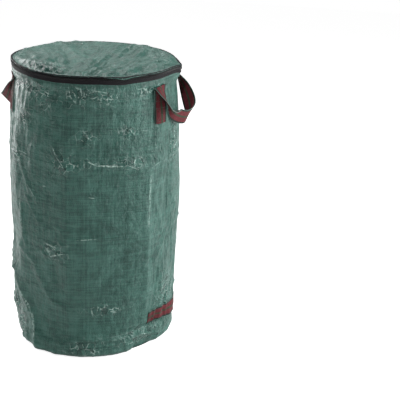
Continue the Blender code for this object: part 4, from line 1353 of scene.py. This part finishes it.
class LEAFBAG_OT_zip(bpy.types.Operator):
    """Zip: two tapes, two rows of coil whose turns mesh, and their stitches"""

    bl_idname = "leafbag.zip"
    bl_label = "Zip"

    def execute(self, context):
        settings = settings_of(context)
        lower_half = 180.0 - HINGE_HALF - 0.3
        rim_tape("lower_tape", TAPE_LOW, LOWER_TAPE_EDGE, lower_half, "bag", "lower_zip_tape")
        rim_tape("upper_tape", UPPER_TAPE_EDGE, UPPER_TAPE_TOP, CHAIN_HALF, "lid",
                 "upper_zip_tape")

        pitch = math.degrees(settings.tooth_pitch / COIL_RADIUS)
        count = int(2.0 * CHAIN_HALF / pitch)
        middle_radius = (TAPE_RADIUS + COIL_RADIUS) / 2.0 + 0.0001
        depth = (COIL_RADIUS - TAPE_RADIUS) * 0.92
        for name, (low, high), shift, reach, body, node in (
                ("lower_coil", LOWER_COIL, 0.0, 0.5, "bag", "lower_zip_coil"),
                ("upper_coil", UPPER_COIL, 0.5, -0.5, "lid", "upper_zip_coil")):
            past = (UPPER_COIL[0] - LOWER_COIL[1]) * 0.62
            height = high - low + past
            centre = (low + high) / 2.0 + math.copysign(past / 2.0, reach)
            unit = capsule(height, settings.tooth_pitch * 0.62, depth)
            places = []
            for turn in range(count):
                bearing = -CHAIN_HALF + (turn + 0.5 + shift * 0.98) * pitch
                if bearing > CHAIN_HALF:
                    break
                spot = pulled_point(bearing, middle_radius, centre, centre + rim_wave(bearing))
                places.append(set_frame(Vector((0.0, 0.0, 1.0)), away_from_axis(spot), spot))
            teeth = finish_piece(name, repeat(unit, places), "black_zip_coil", body)
            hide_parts(node)

        for name, level, half, body in (
                ("lower_tape_stitches", TAPE_LOW + 0.0013, lower_half - 1.0, "bag"),
                ("upper_tape_stitches", BAG_TOP - 0.0030, CHAIN_HALF - 1.0, "lid")):
            points = []
            for step in range(181):
                bearing = half * (step / 90.0 - 1.0)
                points.append(pulled_point(bearing, TAPE_RADIUS + 0.0002, level,
                                           level + rim_wave(bearing)))
            places = stitch_places(points, away_from_axis, settings.stitch_pitch)
            sew(name, places, TAPE_STITCH, "black_thread", body)

        refinish(("zip_slider", "zip_pull"), "slider_metal")
        refinish(("zip_stop_right", "zip_stop_left"), "black_zip_coil")
        refinish(("rim_hoop", "hoop_joiner"), "hoop_plastic")
        return {"FINISHED"}


class LEAFBAG_OT_hinge_strip(bpy.types.Operator):
    """Plain cloth strip that joins the lid to the wall at the back"""

    bl_idname = "leafbag.hinge_strip"
    bl_label = "Hinge strip"

    def execute(self, context):
        span = 2.0 * HINGE_HALF

        def place(across, along):
            bearing = 180.0 - HINGE_HALF + span * across
            height = TAPE_LOW + (BAG_TOP - 0.0012 - TAPE_LOW) * along
            ripple = 0.0002 * noise_at(bearing / 3.0, along * 3.0, 5.0)
            return rim_point(bearing, TAPE_RADIUS + ripple, height)

        shape = mapped_grid(24, 8, place, lambda across, along: (
            across * math.radians(span) * TAPE_RADIUS, along * (BAG_TOP - TAPE_LOW)))
        piece = finish_piece("hinge_cloth", shape, "green_woven_cloth", None)
        mark_cloth(piece, lambda spot: 0.25)
        thicken(piece, TAPE_THICKNESS)
        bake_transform(piece)
        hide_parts("hinge_strip")
        return {"FINISHED"}


# Handles


def catmull(points, share):
    """Return a point on the smooth line through points, and leave their spacing as it is."""
    last = len(points) - 1
    place = min(max(share, 0.0), 1.0) * last
    index = min(int(place), last - 1)
    off = place - index
    before = points[max(index - 1, 0)]
    start, end = points[index], points[index + 1]
    after = points[min(index + 2, last)]
    return 0.5 * (2.0 * start + (end - before) * off
                  + (2.0 * before - 5.0 * start + 4.0 * end - after) * off ** 2
                  + (3.0 * start - before - 3.0 * end + after) * off ** 3)


# The handles' loops: the middle of the webbing and the direction from its lower edge to its
# upper edge, from the front tab to the rear one
RIGHT_MIDDLES = tuple(Vector(place) for place in (
    (0.1925, -0.0935, 0.7215), (0.1996, -0.0935, 0.7014), (0.2108, -0.0917, 0.6813),
    (0.2191, -0.0759, 0.6589), (0.2300, -0.0380, 0.6345), (0.2450, -0.0020, 0.6235),
    (0.2480, 0.0330, 0.6310), (0.2390, 0.0600, 0.6540), (0.2210, 0.0790, 0.6850),
    (0.1990, 0.0910, 0.7140)))
RIGHT_WIDTHS = tuple(Vector(heading) for heading in (
    (-0.40, -0.80, -0.42), (0.15, -0.90, -0.30), (0.50, -0.83, -0.20), (0.40, -0.70, 0.25),
    (0.24, -0.25, 0.93), (0.32, 0.00, 0.95), (0.56, -0.14, 0.80), (0.92, -0.15, 0.38),
    (0.80, -0.58, 0.15), (0.44, -0.90, 0.00)))
LEFT_MIDDLES = tuple(Vector(place) for place in (
    (-0.1925, -0.0935, 0.7215), (-0.1972, -0.0875, 0.7089), (-0.2067, -0.0721, 0.6910),
    (-0.2174, -0.0542, 0.6715), (-0.2315, -0.0294, 0.6500), (-0.2473, -0.0014, 0.6311),
    (-0.2485, 0.0260, 0.6330), (-0.2400, 0.0570, 0.6540), (-0.2220, 0.0790, 0.6860),
    (-0.1990, 0.0910, 0.7140)))
LEFT_WIDTHS = tuple(Vector(heading) for heading in (
    (0.40, -0.86, -0.30), (0.27, -0.96, -0.06), (0.06, -0.93, 0.37), (-0.19, -0.77, 0.61),
    (-0.44, -0.55, 0.71), (-0.60, -0.25, 0.76), (-0.68, -0.17, 0.71), (-0.60, -0.41, 0.69),
    (-0.33, -0.71, 0.62), (-0.30, -0.93, 0.20)))
WEBBING_WIDTH = 0.0385
LOOP_ROWS = 72


def loop_piece(name, middles, widths, settings, square):
    """Return a loop of webbing through stations: its middles and its width directions."""
    rows = LOOP_ROWS
    places = [(catmull(middles, row / rows), catmull(widths, row / rows))
              for row in range(rows + 1)]
    run = [0.0]
    for (first, _), (second, _) in zip(places, places[1:]):
        run.append(run[-1] + (second - first).length)

    def place(across, along):
        row = round(along * rows)
        middle, width = places[row]
        if square:
            heading = places[min(row + 1, rows)][0] - places[max(row - 1, 0)][0]
            heading.normalize()
            width = width - heading * width.dot(heading)
        spot = middle + width.normalized() * (across - 0.5) * WEBBING_WIDTH
        bearing = bearing_of(spot)
        nearest = wall_point(bearing, spot.z, SEAT + 1.55 * settings.webbing_thickness)
        return nearest if nearest.xy.length > spot.xy.length else spot

    shape = mapped_grid(8, rows, place, lambda across, along: (across, run[round(along * rows)]))
    return webbing_piece(name, shape, settings, None)


def tab_bearings(node, side):
    """Return the bearings of the two edges of a side handle's tab."""
    low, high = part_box(node)
    radius = barrel_radius((TAB_LOW + TAB_TOP) / 2.0) + 0.001
    middle = (low.y + high.y) / 2.0
    centre = math.degrees(math.acos(-middle / radius))
    half = math.degrees(WEBBING_WIDTH / 2.0 / radius)
    return side * (centre - half), side * (centre + half)


def tab_piece(node, side, end, settings):
    """Add a webbing tab sewn flat on the wall, cut to the slanting fold at its top.

    Returns the places of its stitches.
    """
    front, rear = tab_bearings(node, side)
    tilt = 0.0120 if end < 0 else 0.0060
    out = SEAT + settings.webbing_thickness / 2.0

    def place(across, along):
        bearing = front + (rear - front) * across
        rise = tilt * (across if end < 0 else 1.0 - across)
        height = TAB_LOW + (TAB_TOP - 0.001 + rise - TAB_LOW) * along
        return wall_point(bearing, height, out)

    shape = mapped_grid(10, 28, place,
                        lambda across, along: (across, along * (TAB_TOP - TAB_LOW)))
    piece = webbing_piece(node + "_webbing", shape, settings, "bag")
    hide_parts(node)
    return [place for low, high in TAB_BOXES
            for place in box_stitches(front, rear, low, high, settings)]


def box_stitches(front, rear, low, high, settings):
    """Return the places of a sewn box with a cross in it, on webbing that lies on the wall."""
    out = SEAT + settings.webbing_thickness + 0.0001
    inset = (rear - front) * 0.13
    left, right = front + inset, rear - inset
    corners = [(left, low), (right, low), (right, high), (left, high), (left, low)]
    lines = list(zip(corners, corners[1:]))
    lines += [((left, low), (right, high)), ((right, low), (left, high))]
    places = []
    for (first_bearing, first_height), (second_bearing, second_height) in lines:
        points = []
        for step in range(13):
            share = step / 12.0
            bearing = first_bearing + (second_bearing - first_bearing) * share
            height = first_height + (second_height - first_height) * share
            points.append(wall_point(bearing, height, out))
        places += stitch_places(points, away_from_axis, settings.stitch_pitch)
    return places


class LEAFBAG_OT_side_handles(bpy.types.Operator):
    """Side handles: four sewn tabs and two hanging loops of striped webbing"""

    bl_idname = "leafbag.side_handles"
    bl_label = "Side handles"

    def execute(self, context):
        settings = settings_of(context)
        places = []
        for side_name, side, middles, widths in (
                ("right", 1.0, RIGHT_MIDDLES, RIGHT_WIDTHS),
                ("left", -1.0, LEFT_MIDDLES, LEFT_WIDTHS)):
            for end_name, end in (("front", -1.0), ("rear", 1.0)):
                places += tab_piece(side_name + "_" + end_name + "_tab", side, end, settings)
            loop = loop_piece(side_name + "_loop_webbing", middles, widths, settings, side > 0.0)
            handle = side_name + "_handle"
            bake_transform(loop)
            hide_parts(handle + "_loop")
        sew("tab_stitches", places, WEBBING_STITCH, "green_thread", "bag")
        return {"FINISHED"}


# The tipping strap: its bearing and height, its length and the length of its sewn ends, how far
# it sags, and how far it stands off the wall in its middle
STRAP_BEARING = 90.0
STRAP_LEVEL = 0.088
STRAP_LENGTH = 0.263
STRAP_TAB = 0.030
STRAP_SAG = 0.013
STRAP_BULGE = 0.0012


class LEAFBAG_OT_tip_strap(bpy.types.Operator):
    """Low strap for tipping the bag out, sewn at both ends"""

    bl_idname = "leafbag.tip_strap"
    bl_label = "Tipping strap"

    def execute(self, context):
        settings = settings_of(context)
        out = SEAT + settings.webbing_thickness / 2.0
        radius = barrel_radius((TIP_LOW + TIP_HIGH) / 2.0)
        half = math.degrees(STRAP_LENGTH / 2.0 / radius)
        tab = math.degrees(STRAP_TAB / radius)
        width = TIP_HIGH - TIP_LOW

        def strap(name, first, last, bulge, body, steps):
            def place(across, along):
                bearing = first + (last - first) * along
                swing = min(1.0, abs((bearing - STRAP_BEARING) / (half - tab)))
                slack = math.cos(swing * math.pi / 2.0) ** 2
                height = TIP_LOW + width * across - STRAP_SAG * slack
                return wall_point(bearing, height, out + bulge * slack * (1.4 - across))

            shape = mapped_grid(8, steps, place, lambda across, along: (
                across, (along * (last - first)) / 180.0 * math.pi * radius))
            return webbing_piece(name, shape, settings, body)

        first, last = STRAP_BEARING - half + tab, STRAP_BEARING + half - tab
        places = []
        for end_name, start, end in (("front", STRAP_BEARING - half, first),
                                     ("rear", last, STRAP_BEARING + half)):
            piece = strap("tip_strap_" + end_name + "_webbing", start, end, 0.0, "bag", 14)
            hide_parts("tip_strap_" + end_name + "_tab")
            places += box_stitches(start, end, TIP_LOW + 0.005, TIP_HIGH - 0.005, settings)
        for end_name, start in (("front", first), ("rear", last)):
            piece = strap("tip_strap_" + end_name + "_half", start, STRAP_BEARING, STRAP_BULGE,
                          None, 36)
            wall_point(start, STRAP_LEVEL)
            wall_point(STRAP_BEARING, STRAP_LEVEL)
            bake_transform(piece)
            if start == first:
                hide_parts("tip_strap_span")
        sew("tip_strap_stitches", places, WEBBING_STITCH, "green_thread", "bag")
        return {"FINISHED"}


# Studio

# The camera as it was fitted to the photo: its place, and its angles in degrees
CAMERA_PLACE = (0.66810, -2.40908, 1.29874)
CAMERA_TURN = 15.5
CAMERA_PITCH = 20.34
CAMERA_YAW = 6.59
CAMERA_ROLL = 2.52

# Lamps: name, place, point they face, width and height, setting for their power, its share
BAG_MIDDLE = (0.0, 0.0, 0.40)
LID_MIDDLE = (0.0, 0.0, 0.76)
LAMPS = (
    ("left_lamp", (-1.8, 1.05, 1.0), BAG_MIDDLE, 0.9, 1.8, "side_light", 1.4),
    ("right_lamp", (2.1, 0.35, 1.0), BAG_MIDDLE, 0.9, 1.8, "side_light", 1.7),
    ("top_lamp", (-0.3, 0.92, 2.26), LID_MIDDLE, 0.9, 0.6, "top_light", 1.15),
    ("back_lamp", (-0.67, 2.41, 1.36), LID_MIDDLE, 1.6, 0.7, "top_light", 0.10),
    ("key_lamp", (0.1, -2.3, 2.5), BAG_MIDDLE, 0.25, 0.25, "side_light", 0.65),
)


def stage_finish(name, colour, glow, mirror_glow):
    """A matt pale surface that the camera sees as white, but for the object's shadow."""
    material = bpy.data.materials.new(name)
    material.use_nodes = True
    tree = material.node_tree
    principled = tree.nodes["Principled BSDF"]
    principled.inputs["Roughness"].default_value = 0.9
    principled.inputs["Specular IOR Level"].default_value = 0.0
    principled.inputs["Base Color"].default_value = (*colour, 1.0)
    principled.inputs["Emission Color"].default_value = (1.0, 1.0, 1.0, 1.0)
    shader = Signal(principled.outputs["BSDF"])
    seen = shader.node("LightPath", {}, {}, "Is Camera Ray")
    mirrored = shader.node("LightPath", {}, {}, "Is Glossy Ray")
    through = shader.node("LightPath", {}, {}, "Is Transmission Ray")
    strength = glow * seen + mirror_glow * mirrored.most(through)
    tree.links.new(strength.socket, principled.inputs["Emission Strength"])
    return material


def add_lamp(name, place, aim, width, height, power):
    """Add a soft rectangular lamp that faces a point."""
    data = bpy.data.lights.new(name, "AREA")
    data.shape = "RECTANGLE"
    data.size = width
    data.size_y = height
    data.energy = power
    lamp = bpy.data.objects.new(name, data)
    bpy.context.scene.collection.objects.link(lamp)
    lamp.location = place
    lamp.rotation_euler = (Vector(aim) - Vector(place)).to_track_quat("-Z", "Y").to_euler()
    return lamp


class LEAFBAG_OT_studio(bpy.types.Operator):
    """White floor and backdrop, soft lamps and the camera"""

    bl_idname = "leafbag.studio"
    bl_label = "Studio"

    def execute(self, context):
        studio = context.scene.leaf_bag_studio
        scene = context.scene

        shape = bmesh.new()
        bmesh.ops.create_grid(shape, x_segments=2, y_segments=2, size=6.0)
        mesh = bpy.data.meshes.new("floor")
        shape.to_mesh(mesh)
        shape.free()
        mesh.materials.append(stage_finish("white_floor", (0.82, 0.82, 0.82), 0.86, 0.40))
        floor = bpy.data.objects.new("floor", mesh)
        scene.collection.objects.link(floor)
        floor.location.z = -0.0005

        world = bpy.data.worlds.new("studio")
        scene.world = world
        world.use_nodes = True
        tree = world.node_tree
        background = tree.nodes["Background"]
        start = Signal(background.outputs[0])
        seen = start.node("LightPath", {}, {}, "Is Camera Ray")
        strength = seen * (1.0 - studio.world_strength) + studio.world_strength
        background.inputs["Color"].default_value = (1.0, 1.0, 1.0, 1.0)
        tree.links.new(strength.socket, background.inputs["Strength"])

        for name, place, aim, width, height, setting, share in LAMPS:
            lamp = add_lamp(name, place, aim, width, height, getattr(studio, setting) * share)
            lamp.visible_camera = name != "back_lamp"

        data = bpy.data.cameras.new("camera")
        data.sensor_width = 36.0
        data.lens = studio.lens
        camera = bpy.data.objects.new("camera", data)
        scene.collection.objects.link(camera)
        turn = Matrix.Rotation(math.radians(CAMERA_TURN), 3, "Z")
        pitch, yaw, roll = (math.radians(angle)
                            for angle in (CAMERA_PITCH, CAMERA_YAW, CAMERA_ROLL))
        forward = Vector((math.sin(yaw) * math.cos(pitch), math.cos(yaw) * math.cos(pitch),
                          -math.sin(pitch)))
        right = Vector((math.cos(yaw), -math.sin(yaw), 0.0))
        above = right.cross(forward)
        tilted_right = right * math.cos(roll) + above * math.sin(roll)
        tilted_up = above * math.cos(roll) - right * math.sin(roll)
        columns = [turn @ axis for axis in (tilted_right, tilted_up, -forward)]
        pose = Matrix(columns).transposed().to_4x4()
        pose.translation = CAMERA_PLACE
        camera.matrix_world = pose
        scene.camera = camera
        scene.view_settings.view_transform = "Standard"
        return {"FINISHED"}


class LEAFBAG_PT_panel(bpy.types.Panel):
    """Lists the bag's pieces and the studio"""

    bl_idname = "LEAFBAG_PT_panel"
    bl_label = "Leaf bag"
    bl_space_type = "VIEW_3D"
    bl_region_type = "UI"
    bl_category = "Leaf bag"

    def draw(self, context):
        for maker in MAKERS:
            self.layout.operator(maker.bl_idname, text=maker.bl_label)


MAKERS = (
    LEAFBAG_OT_side_wall,
    LEAFBAG_OT_lid,
    LEAFBAG_OT_lid_piping,
    LEAFBAG_OT_base,
    LEAFBAG_OT_rim_casing,
    LEAFBAG_OT_zip,
    LEAFBAG_OT_hinge_strip,
    LEAFBAG_OT_side_handles,
    LEAFBAG_OT_tip_strap,
    LEAFBAG_OT_studio,
)
CLASSES = (LeafBagSettings, LeafBagStudioSettings, *MAKERS, LEAFBAG_PT_panel)


def register():
    """Add the classes and the settings to Blender."""
    for item in CLASSES:
        bpy.utils.register_class(item)
    bpy.types.Scene.leaf_bag = bpy.props.PointerProperty(type=LeafBagSettings)
    bpy.types.Scene.leaf_bag_studio = bpy.props.PointerProperty(type=LeafBagStudioSettings)


def unregister():
    """Take the classes and the settings out again."""
    del bpy.types.Scene.leaf_bag_studio
    del bpy.types.Scene.leaf_bag
    for item in reversed(CLASSES):
        bpy.utils.unregister_class(item)


def main():
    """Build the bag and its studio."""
    register()
    bpy.ops.leafbag.side_wall()
    bpy.ops.leafbag.lid()
    bpy.ops.leafbag.lid_piping()
    bpy.ops.leafbag.base()
    bpy.ops.leafbag.rim_casing()
    bpy.ops.leafbag.zip()
    bpy.ops.leafbag.hinge_strip()
    bpy.ops.leafbag.side_handles()
    bpy.ops.leafbag.tip_strap()
    bpy.ops.leafbag.studio()


if __name__ == "__main__":
    main()
